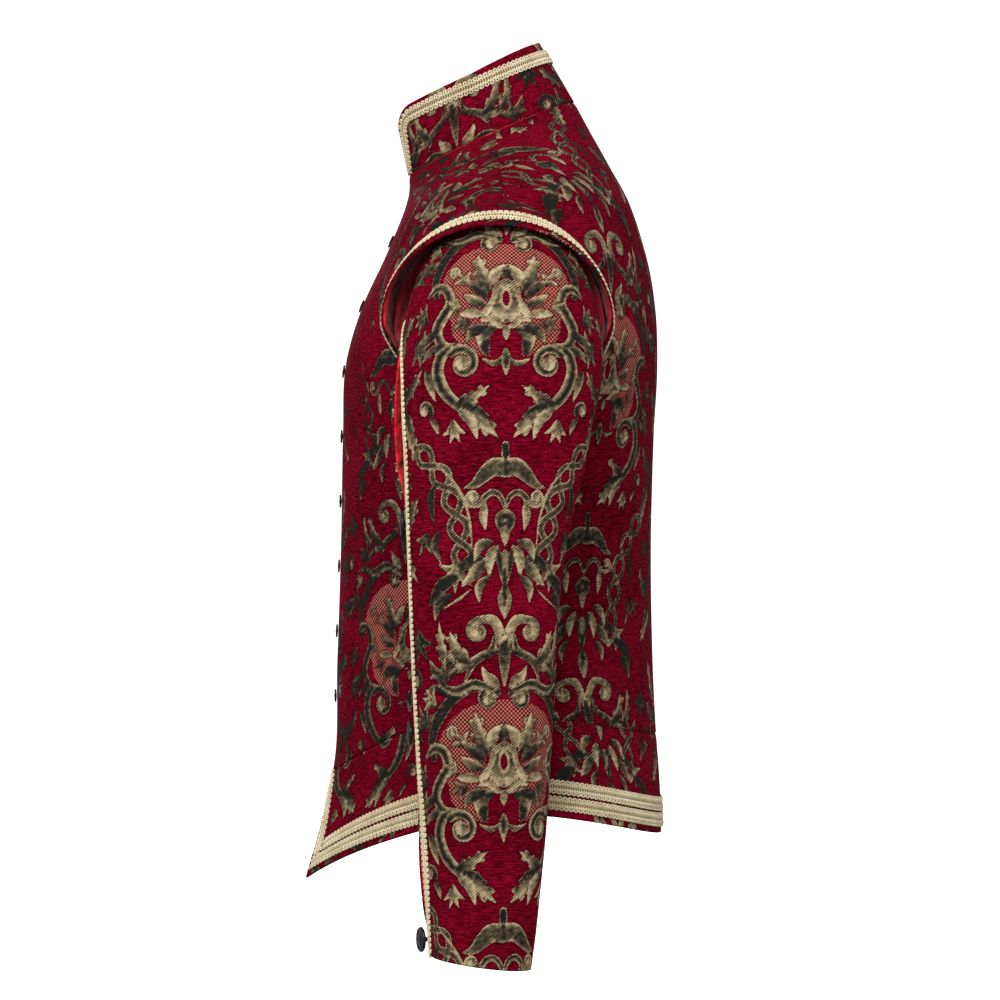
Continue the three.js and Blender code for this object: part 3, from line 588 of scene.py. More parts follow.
class Nodes:
    """A short way to wire a material's nodes. Wires, numbers and colours may be mixed as inputs."""

    def __init__(self, name):
        self.material = bpy.data.materials.new(name)
        self.material.use_nodes = True
        self.tree = self.material.node_tree

    def link(self, value, socket):
        if isinstance(value, Wire):
            self.tree.links.new(value.socket, socket)
        else:
            socket.default_value = (*value, 1) if socket.type == "RGBA" else value

    def node(self, kind, inputs, output=0, **settings):
        made = self.tree.nodes.new("ShaderNode" + kind)
        for key, value in settings.items():
            setattr(made, key, value)
        for key, value in inputs.items():
            self.link(value, made.inputs[key])
        return Wire(self, made.outputs[output])

    def math(self, operation, a, b=0.0):
        return self.node("Math", {0: a, 1: b}, operation=operation)

    def sine(self, value, wave):
        return self.math("SINE", value * (2 * math.pi / wave))

    def attribute(self, name, output="Fac"):
        return self.node("Attribute", {}, output, attribute_name=name)

    def noise(self, where, scale, detail=2.0, roughness=0.5):
        scaled = self.node("VectorMath", {0: where, 1: scale}, operation="MULTIPLY")
        inputs = {"Vector": scaled, "Scale": 1.0, "Detail": detail, "Roughness": roughness}
        return self.node("TexNoise", inputs, "Fac")

    def ramp(self, value, stops):
        made = self.node("ValToRGB", {0: value})
        elements = made.socket.node.color_ramp.elements
        while len(elements) < len(stops):
            elements.new(0.5)
        for element, (at, colour) in zip(elements, stops):
            element.position = at
            element.color = (*colour, 1)
        return made

    def mix(self, share, a, b):
        return self.node("Mix", {"Factor": share, 6: a, 7: b}, 2, data_type="RGBA")

    def within(self, value, low, high):
        """0 below low, 1 above high, smooth between. low may be above high."""
        inputs = {
            "Value": value, "From Min": min(low, high), "From Max": max(low, high),
            "To Min": float(low > high), "To Max": float(low < high),
        }
        return self.node("MapRange", inputs, interpolation_type="SMOOTHSTEP")

    def bump(self, height, distance, strength, **before):
        return self.node("Bump", {"Height": height, "Distance": distance, "Strength": strength, **before})

    def finish(self, colour, roughness, **sockets):
        inputs = self.tree.nodes["Principled BSDF"].inputs
        for key, value in {"Base_Color": colour, "Roughness": roughness, **sockets}.items():
            self.link(value, inputs[key.replace("_", " ")])
        return self.material


BURGUNDY = (0.045, 0.0005, 0.0036)
CRIMSON = (0.160, 0.0012, 0.0100)
BRIGHT = (0.30, 0.0040, 0.027)
OLIVE = (0.016, 0.0155, 0.013)
BRONZE = (0.095, 0.071, 0.041)
GOLD = (0.27, 0.202, 0.112)
PALE_GOLD = (0.60, 0.48, 0.29)
PINK_BEIGE = (0.50, 0.22, 0.15)
SATIN_REDS = [(0.3, (0.38, 0.003, 0.008)), (0.5, (0.68, 0.009, 0.020)), (0.72, (0.86, 0.05, 0.07))]
GIMP_CREAMS = [(0.30, (0.50, 0.37, 0.18)), (0.47, (0.84, 0.71, 0.44)), (0.70, (0.97, 0.90, 0.68))]
HORN_BROWNS = [(0.35, (0.004, 0.0035, 0.003)), (0.6, (0.012, 0.009, 0.007)), (0.8, (0.05, 0.033, 0.022))]
LOZENGE = 3.5  # wave of the lattice in mm


def brocade_material():
    """Crimson chenille with slubs across it, and a figure woven in olive and gold satin threads."""
    b = Nodes("crimson_brocade")
    cloth = b.attribute("cloth", "Vector")
    u, v = (b.node("SeparateXYZ", {0: cloth}, k) for k in (0, 1))
    figure, tone, lattice = (b.attribute(name) for name in ("figure", "tone", "lattice"))
    # slubs run across the cloth: long, low and uneven
    slub = b.noise(cloth, (0.1, 0.7, 1), 2.0, 0.6)
    tuft = b.noise(cloth, (0.4, 1.1, 1), 1.0)
    cloudy = b.noise(cloth, (0.012, 0.02, 1))
    pile = slub * 0.50 + tuft * 0.34 + cloudy * 0.16
    ground = b.ramp(pile, [(0.42, BURGUNDY), (0.505, CRIMSON), (0.61, BRIGHT)])
    # threads of the figure lie on the slant, and its edge steps from thread to thread
    ragged = figure + (b.noise(cloth, (0.5, 1.4, 1), 1.0) - 0.5) * 1.5
    inside = b.within(ragged, 0.28, -0.22)
    twill = b.sine(u * 0.72 + v, 2.4)
    thread = twill * b.within(b.noise(cloth, (0.12, 0.12, 1)), 0.36, 0.56)
    uneven = (b.noise(cloth, (0.2, 0.26, 1), 3.0) - 0.5) * 0.95
    rim = b.within(ragged, -1.7, -0.5) * (twill * 0.17 + 0.06)
    lit = tone + uneven + thread * 0.11 + rim * b.within(tone, 0.05, 0.3)
    threads = b.ramp(lit, [(0.1, OLIVE), (0.36, BRONZE), (0.61, GOLD), (0.92, PALE_GOLD)])
    # the medallion's ground: small beige lozenges on crimson
    lozenge = b.within(b.sine(u, LOZENGE) * b.sine(v, LOZENGE), -0.05, 0.4)
    base = b.mix(b.within(lattice, 0.4, -0.4) * lozenge, ground, PINK_BEIGE)
    # painted shade: the ground's colour is darkened beside the figure, where the cloth dips
    base = b.mix(b.within(figure, 2.4, 0.2) * 0.6, base, BURGUNDY)
    height = b.within(figure, 1.2, -1.2) + pile * 0.9 + thread * inside * 0.22
    return b.finish(b.mix(inside, base, threads), 0.88 - inside * 0.36, Normal=b.bump(height, 0.0007, 0.75),
                    Sheen_Weight=0.02, Sheen_Roughness=0.4, Sheen_Tint=(1.0, 0.15, 0.25), IOR=1.08)


def satin_material():
    b = Nodes("red_satin")
    cloth = b.attribute("cloth", "Vector")
    weft = b.noise(cloth, (0.12, 2.4, 1))
    wave = b.noise(cloth, (0.03, 0.05, 1))
    colour = b.ramp(weft * 0.35 + wave * 0.65, SATIN_REDS)
    # painted shade: the colour darkens to near black where the 'deep' attribute is set, in the hollow of the
    # wing lining
    colour = b.mix(b.attribute("deep"), colour, (0.012, 0.0004, 0.0012))
    ripple = b.bump(b.noise(cloth, (0.05, 0.075, 1), 1.0), 0.009, 0.9)
    return b.finish(colour, 0.36, Normal=b.bump(weft, 0.0004, 0.4, Normal=ripple),
                    Sheen_Weight=0.12, Anisotropic=0.4, Specular_IOR_Level=0.45)


def gimp_material():
    b = Nodes("cream_gimp")
    where = b.node("TexCoord", {}, "Object")
    ply = b.noise(where, (900, 900, 900), 2.0, 0.6)
    tint = b.noise(where, (60, 60, 60))
    return b.finish(b.ramp(ply * 0.6 + tint * 0.4, GIMP_CREAMS), 0.62, Normal=b.bump(ply, 0.0004, 0.6),
                    Sheen_Weight=0.15, Specular_IOR_Level=0.35)


def button_material():
    b = Nodes("dark_button")
    swirl = b.noise(b.node("TexCoord", {}, "Object"), (220, 220, 220), 3.0)
    return b.finish(b.ramp(swirl, HORN_BROWNS), swirl * 0.2 + 0.22, Normal=b.bump(swirl, 0.0003, 0.4),
                    Specular_IOR_Level=0.3)


brocade = brocade_material()
satin = satin_material()
gimp = gimp_material()
# painted shade: a dark brown for the braid's flat ground, which shows as shadow between its loops and
# stitches
gimp_painted_shade = Nodes("gimp_painted_shade").finish((0.17, 0.105, 0.05), 0.8)
horn = button_material()
# the thickness of each kind of sheet, and the materials of its outer and inner face
SHEETS = {"brocade": (CLOTH, [brocade, satin]), "satin": (SATIN, [satin])}


# The woven figure. One half of a repeat is drawn on a fine grid from leaves, scrolls and ribbons, and it is
# mirrored about both its long edges. u is across from the middle of the medallion, v down from its top.
TILE_HALF = 140.0
TILE_HIGH = 380.6
TILE_STEP = 0.5
FAR_OFF = 6.0
RIM, RIM_TONE = 0.8, 0.04
RIM_INSIDE = 0.5

# Each tone runs from 0, dark olive, to 1, light gold. side is -1 to 1 across a stroke, t is 0 to 1 along it.
TONES = {
    "scroll": lambda side, t: 0.66 - 0.7 * np.exp(-(((side - 0.15) / 0.45) ** 2)),
    "gold": lambda side, t: 0.5 - 0.2 * side + 0.34 * t,
    "dark": lambda side, t: 0.06 + 0.34 * smoothstep(np.abs(side), 0.7, 1.0),
    "leaf": lambda side, t: 0.14 + 0.24 * side + 0.68 * t - 0.26 * np.exp(-((side / 0.25) ** 2)) * (1 - t),
    "shade": lambda side, t: 0.05 + 0.18 * side + 0.62 * t * t,
    "ribbon": lambda side, t: 0.24 + 0.46 * smoothstep(np.abs(side), 0.5, 0.95),
    "canopy": lambda side, t: 0.3 + 0.42 * smoothstep(np.abs(side), 0.55, 1.0) + 0.1 * np.sin(9 * t),
    "line": lambda side, t: 0.7 + 0 * side,
    "pit": lambda side, t: 0.02 + 0 * side,
}


def nearest_on(path, widths, u, v):
    """For each place, its distance outside a stroke, where it is across it, -1 to 1, and along it, 0 to 1."""
    best, side, along = np.full(u.shape, 1e3), np.zeros(u.shape), np.zeros(u.shape)
    last = len(path) - 1
    for k in range(last):
        a, d = path[k], path[k + 1] - path[k]
        size = max(float(d @ d), 1e-9)
        t = np.clip(((u - a[0]) * d[0] + (v - a[1]) * d[1]) / size, 0, 1)
        gap_u, gap_v = u - a[0] - t * d[0], v - a[1] - t * d[1]
        wide = widths[k] + (widths[k + 1] - widths[k]) * t
        away = np.hypot(gap_u, gap_v) - wide
        cross = (gap_u * d[1] - gap_v * d[0]) / math.sqrt(size) / np.maximum(wide, 0.3)
        nearer = away < best
        best = np.where(nearer, away, best)
        side = np.where(nearer, cross, side)
        along = np.where(nearer, (k + t) / last, along)
    return best, np.clip(side, -1, 1), along


class Tile:
    """Half a repeat, drawn stroke by stroke: the distance to the figure, its tone, and the distance to the
    open lattice. Distances are below 0 inside."""

    def __init__(self):
        self.cols = int(TILE_HALF / TILE_STEP) + 1
        self.rows = int(round(TILE_HIGH / TILE_STEP))
        self.figure = np.full((self.rows, self.cols), FAR_OFF)
        self.tone = np.full((self.rows, self.cols), 0.5)
        self.lattice = np.full((self.rows, self.cols), FAR_OFF)

    def window(self, path, reach):
        """Rows and columns near a path, rows running on past the ends of the repeat."""
        (low_u, low_v), (high_u, high_v) = path.min(0) - reach, path.max(0) + reach
        first = max(0, int(low_u / TILE_STEP))
        last = min(self.cols - 1, int(high_u / TILE_STEP) + 1)
        rows = np.arange(int(math.floor(low_v / TILE_STEP)), int(high_v / TILE_STEP) + 2)
        return rows, np.arange(first, last + 1)

    def stroke(self, path, widths, tone):
        """Draws one stroke over what is there, with a dark line round it where it crosses another.
        A bare stroke clears its place down to the plain ground."""
        reach = max(widths) + FAR_OFF
        for copy in self.copies(path):
            rows, cols = self.window(copy, reach)
            if len(cols) < 2 or copy[:, 0].max() < -reach or copy[:, 0].min() > TILE_HALF + reach:
                continue
            best, side, along = nearest_on(copy, widths, *np.meshgrid(cols * TILE_STEP, rows * TILE_STEP))
            mirrored = copy[0, 0] != path[0, 0]
            grid = np.ix_(np.mod(rows, self.rows), cols)
            figure = self.figure[grid]
            if tone == "bare":
                self.figure[grid] = np.maximum(figure, -best)
                self.lattice[grid] = np.maximum(self.lattice[grid], -best)
                continue
            new = np.clip(TONES[tone](-side if mirrored else side, along), 0, 1)
            rim = (best >= 0) & (best < RIM) & (figure < 0)
            shade = np.where(rim, RIM_TONE, self.tone[grid])
            self.tone[grid] = np.where(best < RIM_INSIDE, new, shade)
            self.figure[grid] = np.minimum(figure, best)

    def copies(self, path):
        found = [path]
        if path[:, 0].min() < 12:
            found.append(path * [-1, 1])
        if path[:, 0].max() > TILE_HALF - 12:
            found.append([2 * TILE_HALF, 0] + path * [-1, 1])
        return found

    def ground(self, middle, radii):
        """Adds an oval of open lattice weave."""
        u, v = np.meshgrid(np.arange(self.cols) * TILE_STEP, np.arange(self.rows) * TILE_STEP)
        for shift in (-TILE_HIGH, 0, TILE_HIGH):
            du, dv = (u - middle[0]) / radii[0], (v - middle[1] - shift) / radii[1]
            away = (np.hypot(du, dv) - 1) * min(radii)
            self.lattice = np.minimum(self.lattice, away)

    def sample(self, u, v):
        w = np.mod(np.abs(u), 2 * TILE_HALF)
        w = np.where(w > TILE_HALF, 2 * TILE_HALF - w, w) / TILE_STEP
        h = np.mod(v, TILE_HIGH) / TILE_HIGH * self.rows
        j = np.clip(w.astype(int), 0, self.cols - 2)
        i = np.mod(h.astype(int), self.rows)
        where = (i, np.mod(i + 1, self.rows), j, h - np.floor(h), w - j)
        return [between(grid, *where) for grid in (self.figure, self.tone, self.lattice)]


tile = Tile()


def smooth_path(points, parts):
    points = np.array(points, float)
    knots = np.arange(len(points), dtype=float)
    at = np.linspace(0, knots[-1], parts + 1)
    return np.stack([curve_through(knots, points[:, k])(at) for k in (0, 1)], -1)


def along_path(values, parts):
    return np.interp(np.linspace(0, 1, parts + 1), np.linspace(0, 1, len(values)), values)


def scroll(points, widths, tone="scroll", parts=22):
    tile.stroke(smooth_path(points, parts), along_path(widths, parts), tone)


def bead(points, widths, tone):
    """A straight stroke between two places."""
    tile.stroke(np.array(points, float), np.array(widths), tone)


LEAF = (0.12, 0.7, 1.0, 0.85, 0.5, 0.05)


def leaf(points, width, tone="leaf"):
    scroll(points, np.array(LEAF) * width, tone, 12)


def acanthus(points, width, lobes, tone="leaf"):
    """A leaf with pairs of pointed lobes that start on its rib."""
    rib = smooth_path(points, 20)
    for k in range(lobes):
        share = 0.12 + 0.62 * k / max(lobes - 1, 1)
        i = int(share * 20)
        d = rib[min(i + 1, 20)] - rib[max(i - 1, 0)]
        d = d / max(np.hypot(*d), 1e-6)
        size = width * (1.75 - 0.8 * share)
        for sign in (-1, 1):
            out = np.array([d[0] * 0.75 - sign * d[1] * 0.66, d[1] * 0.75 + sign * d[0] * 0.66])
            middle = rib[i] + out * size * 0.55
            leaf([rib[i], middle + d * 0.8, rib[i] + out * size + d * 1.6], width * 0.4, tone)
    tile.stroke(rib, along_path(np.array(LEAF) * width * 0.72, 20), tone)


def volute(centre, radius, start, turns, width, tone="scroll", ball=0.42):
    """A spiral from its outer end at an angle in degrees, winding in clockwise for positive turns."""
    t = np.linspace(0, 1, 23)
    angle = np.radians(start + 360 * turns * t)
    r = radius * (1 - 0.68 * t ** 0.9)
    path = np.stack([centre[0] + r * np.cos(angle), centre[1] + r * np.sin(angle)], -1)
    tile.stroke(path, along_path([width, width * 0.85, width * 0.6], 22), tone)
    bead([centre, (centre[0] + 0.3, centre[1])], (radius * ball, radius * ball), "gold")


def sprig(base, heading, size, count, spread=130.0, tone="leaf"):
    """A fan of pointed leaves from one place. heading in degrees, 90 points down the cloth."""
    for k in range(count):
        share = k / max(count - 1, 1) - 0.5
        a = math.radians(heading + spread * share)
        bent = math.radians(heading + spread * share * 0.55)
        reach = size * (1 - 0.75 * share * share)
        tip = [base[0] + reach * math.cos(a), base[1] + reach * math.sin(a)]
        middle = [base[0] + 0.5 * reach * math.cos(bent), base[1] + 0.5 * reach * math.sin(bent)]
        leaf([base, middle, tip], size * 0.125, tone)


def medallion():
    for middle, radii in (((0, 40), (57, 45)), ((0, 70), (47, 27))):
        tile.ground(middle, radii)
    for start, end, wide in (((0, 30), (0, 54), 15.0), ((0, 80), (0, 110), 13.0), ((60, 52), (66, 62), 11.0)):
        bead([start, end], (wide, wide), "bare")
    # the arch over it and dark leaves outside the arch
    sprig((70, 22), -60, 24, 5, 150, "shade")
    sprig((70, 66), -20, 22, 5, 120, "shade")
    scroll([(10, -12), (26, -14), (43, -5), (57, 12), (64, 30), (62, 44)],
           [2.2, 3.4, 4.6, 5.0, 4.4, 3.0], "dark")
    scroll([(46, -8), (60, -14), (72, -8)], [3.2, 2.6, 0.5], "shade")
    sprig((58, 2), -35, 20, 4, 90, "leaf")
    # the bracket at its side
    scroll([(72, 44), (62, 36), (52, 38), (48, 50), (55, 62), (61, 74), (54, 86), (40, 86)],
           [1.2, 3.8, 4.6, 4.4, 4.8, 5.2, 4.0, 1.6])
    leaf([(60, 74), (70, 80), (82, 84)], 3.6, "shade")
    volute((13, -5), 8.5, -150, 1.15, 2.8)
    leaf([(4, -12), (10, -22), (20, -27)], 3.4)


def palmette():
    # small outer leaves on the lattice
    sprig((32, 34), -52, 17, 3, 100, "leaf")
    sprig((38, 56), -28, 15, 3, 90, "leaf")
    sprig((30, 66), 22, 17, 3, 80, "shade")
    volute((43, 22), 5.0, 60, -0.9, 2.0, "gold")
    # the large petals
    acanthus([(13, 40), (20, 26), (24, 5)], 7.0, 3)
    leaf([(15, 46), (25, 36), (35, 30)], 4.6, "shade")
    leaf([(16, 52), (27, 48), (36, 42)], 4.6)
    leaf([(18, 60), (30, 59), (40, 60)], 4.2, "gold")
    # the crown over the bud, then the bud with its red eye
    leaf([(10, 34), (9, 24), (1, 15)], 4.8, "gold")
    leaf([(0, 32), (0, 24), (0, 16)], 3.6, "shade")
    scroll([(0, 31), (7, 37), (9, 48), (18, 60)], [2.2, 3.4, 4.2, 2.8], "gold")
    bead([(0, 42), (0, 60)], (5.5, 12.0), "shade")
    scroll([(0, 36), (0, 46), (0, 56)], [0.8, 4.4, 4.6, 0.8], "line", 12)
    scroll([(0, 38.5), (0, 46), (0, 53.5)], [0.3, 2.8, 3.0, 0.3], "bare", 12)
    # scalloped lip
    scroll([(0, 68), (6, 69), (12, 64), (20, 65)], [2.4, 2.8, 2.6, 1.2], "gold")
    bead([(0, 68), (6, 67)], (1.4, 0.5), "bare")
    leaf([(0, 71), (0, 76), (0, 82)], 3.2, "gold")
    # drooping petals and the small palmette under them
    leaf([(9, 72), (19, 76), (20, 92)], 6.4)
    leaf([(16, 70), (27, 74), (33, 84)], 4.6, "shade")
    leaf([(14, 82), (17, 88), (15, 95)], 3.6, "dark")
    scroll([(2, 97), (10, 101), (20, 97)], [1.4, 2.6, 0.5], "leaf")
    leaf([(0, 88), (0, 99), (0, 112)], 4.2, "gold")
    leaf([(0, 92), (0, 98), (0, 104)], 1.6, "dark")


def c_scroll():
    leaf([(50, 92), (64, 90), (76, 100)], 4.2, "shade")
    scroll([(44, 88), (55, 94), (59, 108), (53, 123), (43, 133), (32, 140)], [3.6, 5.0, 5.8, 5.6, 4.8, 4.0])
    volute((36, 101), 13.5, -40, -1.1, 3.8)
    acanthus([(40, 136), (29, 130), (13, 119)], 5.6, 3)
    acanthus([(42, 134), (25, 144), (6, 162)], 8.0, 4)
    leaf([(38, 138), (28, 149), (23, 164)], 4.4, "gold")
    leaf([(36, 136), (24, 138), (13, 146)], 2.4, "dark")
    sprig((44, 147), 95, 21, 4, 80, "gold")
    leaf([(72, 106), (67, 118), (60, 133)], 4.4, "leaf")
    volute((71, 140), 7.5, 160, 0.9, 2.4, "leaf")
    leaf([(66, 146), (60, 152), (57, 160)], 3.0, "leaf")


def canopy():
    bead([(0, 168), (0, 176)], (3.0, 3.4), "line")
    bead([(0, 168.5), (0, 175.5)], (1.7, 2.1), "pit")
    scroll([(0, 187), (9, 186), (17, 192), (25, 200), (34, 203)], [7.4, 7.6, 6.0, 3.6, 0.5], "canopy")
    bead([(0, 180), (0, 190)], (0.7, 1.5), "dark")
    scroll([(0, 219), (5, 209), (12, 207), (18, 213), (17, 222)], [1.6, 2.4, 2.8, 2.6, 1.6], "scroll")
    volute((26, 211), 7.4, 150, -1.0, 2.3, "gold")
    leaf([(16, 216), (18, 226), (16, 238)], 3.8, "gold")
    bead([(0, 229), (0, 231)], (8.6, 8.0), "gold")
    volute((0, 230), 5.8, 90, 1.2, 1.8, "dark", 0.2)
    leaf([(0, 234), (0, 241), (0, 251)], 4.0, "gold")


def spray():
    leaf([(16, 262), (28, 262), (38, 268)], 4.6, "dark")
    leaf([(10, 247), (20, 250), (25, 262)], 4.6, "leaf")
    leaf([(16, 262), (24, 272), (36, 284)], 5.2, "leaf")
    leaf([(6, 250), (12, 260), (13, 276)], 4.6, "gold")
    leaf([(12, 274), (21, 284), (21, 297)], 3.8, "leaf")
    leaf([(0, 254), (0, 268), (0, 286)], 6.0, "gold")
    leaf([(5, 252), (5, 262), (3, 274)], 2.2, "dark")
    leaf([(0, 282), (0, 296), (0, 310)], 6.0, "gold")
    leaf([(0, 270), (0, 284), (0, 298)], 2.0, "dark")


TWIST_HALF, TWIST_WAVE = 7.6, 46.0


def guilloche():
    """Two strands that twist round each other down a curved line, with a thin line beside them."""
    middle = smooth_path([(80, 170), (64, 184), (49, 202), (41, 224), (37, 246), (33, 268)], 60)
    tangent = np.gradient(middle, axis=0)
    across = np.stack([-tangent[:, 1], tangent[:, 0]], -1)
    across /= np.linalg.norm(across, axis=-1, keepdims=True)
    far = np.concatenate([[0], np.cumsum(np.linalg.norm(np.diff(middle, axis=0), axis=-1))])
    swing = TWIST_HALF * np.sin(2 * math.pi * far / TWIST_WAVE)
    # short parts, so that each strand passes over and under the other in turn
    for part in range(5):
        piece = slice(part * 12, part * 12 + 13)
        for sign in ((1, -1) if part % 2 else (-1, 1)):
            path = (middle + across * (swing * sign)[:, None])[piece]
            tile.stroke(path, np.full(13, 2.9), "ribbon")
    scroll([(58, 184), (40, 202), (30, 226), (27, 250)], [0.6, 1.0, 1.0, 0.5], "line")
    sprig((36, 264), 60, 26, 4, 110, "leaf")
    leaf([(40, 276), (54, 284), (66, 300)], 6.2, "dark")
    leaf([(44, 290), (56, 298), (60, 312)], 5.0, "shade")
    scroll([(28, 286), (38, 294), (52, 302)], [0.5, 1.0, 0.5], "line")
    leaf([(60, 200), (64, 214), (60, 234)], 3.8, "dark")
    leaf([(56, 238), (60, 250), (54, 266)], 3.6, "shade")
    sprig((66, 240), 60, 22, 3, 80, "shade")


def lyre():
    scroll([(23, 311), (10, 311), (3, 324), (1, 342)], [3.0, 4.2, 4.0, 1.8], "gold")
    volute((22, 320), 8.6, -80, 1.05, 3.0, "gold")
    scroll([(8, 324), (11, 336), (24, 344), (32, 360)], [1.4, 3.4, 3.6, 0.8])
    scroll([(6, 336), (20, 341), (36, 350), (48, 348)], [1.6, 3.2, 3.8, 1.0], "leaf")
    acanthus([(28, 346), (40, 336), (46, 320)], 6.2, 3)
    acanthus([(40, 350), (52, 338), (56, 312)], 5.2, 4, "leaf")
    leaf([(40, 354), (56, 356), (66, 344)], 5.2, "shade")
    bead([(0, 336), (0, 350)], (5.4, 4.0), "gold")
    leaf([(0, 328), (0, 344), (0, 366)], 5.0, "shade")
    leaf([(4, 366), (13, 359), (19, 348)], 4.0, "gold")
    scroll([(8, 368), (24, 363), (40, 369), (56, 364)], [2.0, 4.0, 4.0, 1.0], "scroll")
    sprig((50, 364), -70, 22, 4, 110, "shade")


def far_half():
    """Dark sprays and scrolls between the medallions."""
    acanthus([(140, 66), (140, 34), (140, 2)], 10.0, 4, "shade")
    acanthus([(136, 66), (120, 46), (110, 18)], 9.0, 4, "shade")
    acanthus([(134, 74), (112, 72), (92, 60)], 7.5, 4, "shade")
    sprig((96, 30), -110, 26, 5, 150, "dark")
    sprig((88, 84), 150, 24, 5, 140, "shade")
    volute((122, 92), 11.0, 200, 1.1, 3.4, "scroll")
    scroll([(132, 86), (140, 104), (128, 124), (108, 134), (94, 152)], [2.8, 4.4, 5.2, 4.6, 2.4], "dark")
    acanthus([(102, 140), (90, 160), (74, 188)], 8.0, 4, "leaf")
    acanthus([(110, 130), (92, 124), (76, 106)], 6.4, 3, "shade")
    acanthus([(116, 130), (124, 150), (116, 176)], 6.4, 3, "shade")
    acanthus([(140, 216), (140, 190), (140, 158)], 8.4, 3, "shade")
    scroll([(140, 216), (124, 212), (112, 223), (109, 240), (122, 250)], [2.8, 4.0, 4.4, 3.6, 1.4], "dark")
    sprig((104, 206), -120, 24, 4, 110, "dark")
    acanthus([(110, 236), (94, 230), (78, 212)], 7.6, 4, "shade")
    acanthus([(112, 246), (100, 262), (80, 280)], 7.4, 4, "leaf")
    acanthus([(126, 250), (134, 266), (126, 288)], 6.0, 3, "dark")
    acanthus([(140, 332), (140, 306), (140, 276)], 7.0, 3, "shade")
    acanthus([(136, 338), (118, 320), (104, 292)], 8.4, 4, "leaf")
    acanthus([(134, 346), (112, 344), (90, 328)], 7.4, 4, "shade")
    sprig((80, 320), 100, 28, 4, 100, "dark")
    sprig((112, 368), 180, 28, 5, 140, "shade")
    volute((84, 362), 9.5, 30, -1.1, 3.0, "dark")


for draw in (far_half, guilloche, medallion, palmette, c_scroll, canopy, spray, lyre):
    draw()


def weave_place(u, v):
    return {"cloth": np.stack([u, v, np.zeros_like(u)], -1)}


# How the pattern lies on each panel: u of its axis, v of its top, and how much lighter and thinner it is
WEAVE_COLUMNS = ("axis", "top", "lighter", "thinner")
WEAVES = {
    "front": (150.0, 0.4, -0.21, 0.9),
    "back": (150.0, 152.0, -0.09, 0.7),
    "basque_front": (84.0, -105.0, -0.17, 0.8),
    "basque_back": (140.0, -235.0, -0.06, 0.8),
    "collar": (140.0, -308.0, -0.06, 0.6),
    "wing": (60.0, -330.0, -0.2, 1.3),
    "sleeve_outer": (0.0, 95.0, 0.0, 0.0),
    "sleeve_under": (130.0, 95.0, -0.02, 0.0),
}


def woven(panel, u, v):
    """What the cloth shows at each place: weave coordinates, and the figure, its tone and the lattice."""
    weave = dict(zip(WEAVE_COLUMNS, WEAVES[panel]))
    figure, tone, lattice = tile.sample(u - weave["axis"], v - weave["top"])
    tone = np.clip(tone + weave["lighter"], 0, 1)
    return {**weave_place(u, v), "figure": figure + weave["thinner"], "tone": tone, "lattice": lattice}


LINING_GAP = 0.4
SLEEVE_LINING_TOP, SLEEVE_LINING_END = 12, 642
WING_LINING_ROWS = slice(12, 24)
WING_LINING_END = 107  # degrees round the armhole, to each side of its top
SIDES = (("left", np.array), ("right", mirror_x))

# The cloth panels. Each grid's spacing of rows in mm, and its number of columns
GRIDS = {
    "body": (2.3, 112), "basque": (2.2, 100), "basque_back": (2.2, 190),
    "sleeve": (1.75, 150), "under": (2.6, 90), "lining": (4.0, 60),
}
COLLAR_STEP, COLLAR_ROWS = 2.1, 30
WING_STEP, WING_ROWS = 1.55, 25


def wrap(turn):
    return (turn + math.pi) % (2 * math.pi) - math.pi


def torso_round(turn, s):
    return torso(wrap(np.asarray(turn)), s)


# Creases. Each runs from one place on its panel to another, across and down in mm. The cloth dips by depth
# (it rises where depth is below 0), over the width to each side.
FRONT_CREASES = (
    # from_u, from_v, to_u, to_v, depth, width
    (196, 250, 182, 470, 1.5, 10),
    (158, 300, 150, 500, -1.0, 9),
    (240, 468, 150, 492, 1.2, 6),
    (236, 500, 168, 512, 0.9, 5),
    (226, 430, 186, 446, 1.0, 6),
    (60, 340, 96, 480, 0.9, 9),
    (14, 192, 58, 184, 0.6, 5),
    (14, 306, 50, 312, 0.6, 5),
    (14, 422, 62, 410, 0.7, 5),
    (120, 60, 96, 150, 0.9, 9),
)
BACK_CREASES = (
    (26, 250, 32, 470, 1.2, 9),
    (84, 300, 70, 500, -1.0, 10),
    (236, 452, 130, 486, 1.4, 6),
    (240, 486, 160, 506, 1.2, 5),
    (228, 420, 170, 444, 1.1, 6),
    (150, 150, 96, 230, 1.0, 9),
    (186, 262, 150, 340, 1.1, 8),
    (60, 60, 90, 140, 0.8, 9),
    (120, 360, 108, 450, 0.9, 7),
)
BASQUE_CREASES = (
    (70, 4, 72, 60, 1.0, 9),
    (118, 2, 116, 52, -1.1, 9),
    (170, 2, 172, 50, 1.0, 8),
    (222, 2, 220, 48, -1.0, 9),
    (246, 2, 248, 46, 0.8, 6),
)
BASQUE_BACK_CREASES = (
    (-232, 2, -228, 46, 0.9, 8),
    (-150, 2, -146, 48, -1.0, 9),
    (-92, 2, -96, 48, 1.1, 10),
    (36, 4, 40, 50, 1.1, 9),
    (88, 2, 84, 48, -1.0, 10),
    (132, 2, 136, 48, 1.1, 8),
    (182, 2, 180, 48, -1.0, 10),
    (228, 2, 232, 46, 0.9, 8),
)
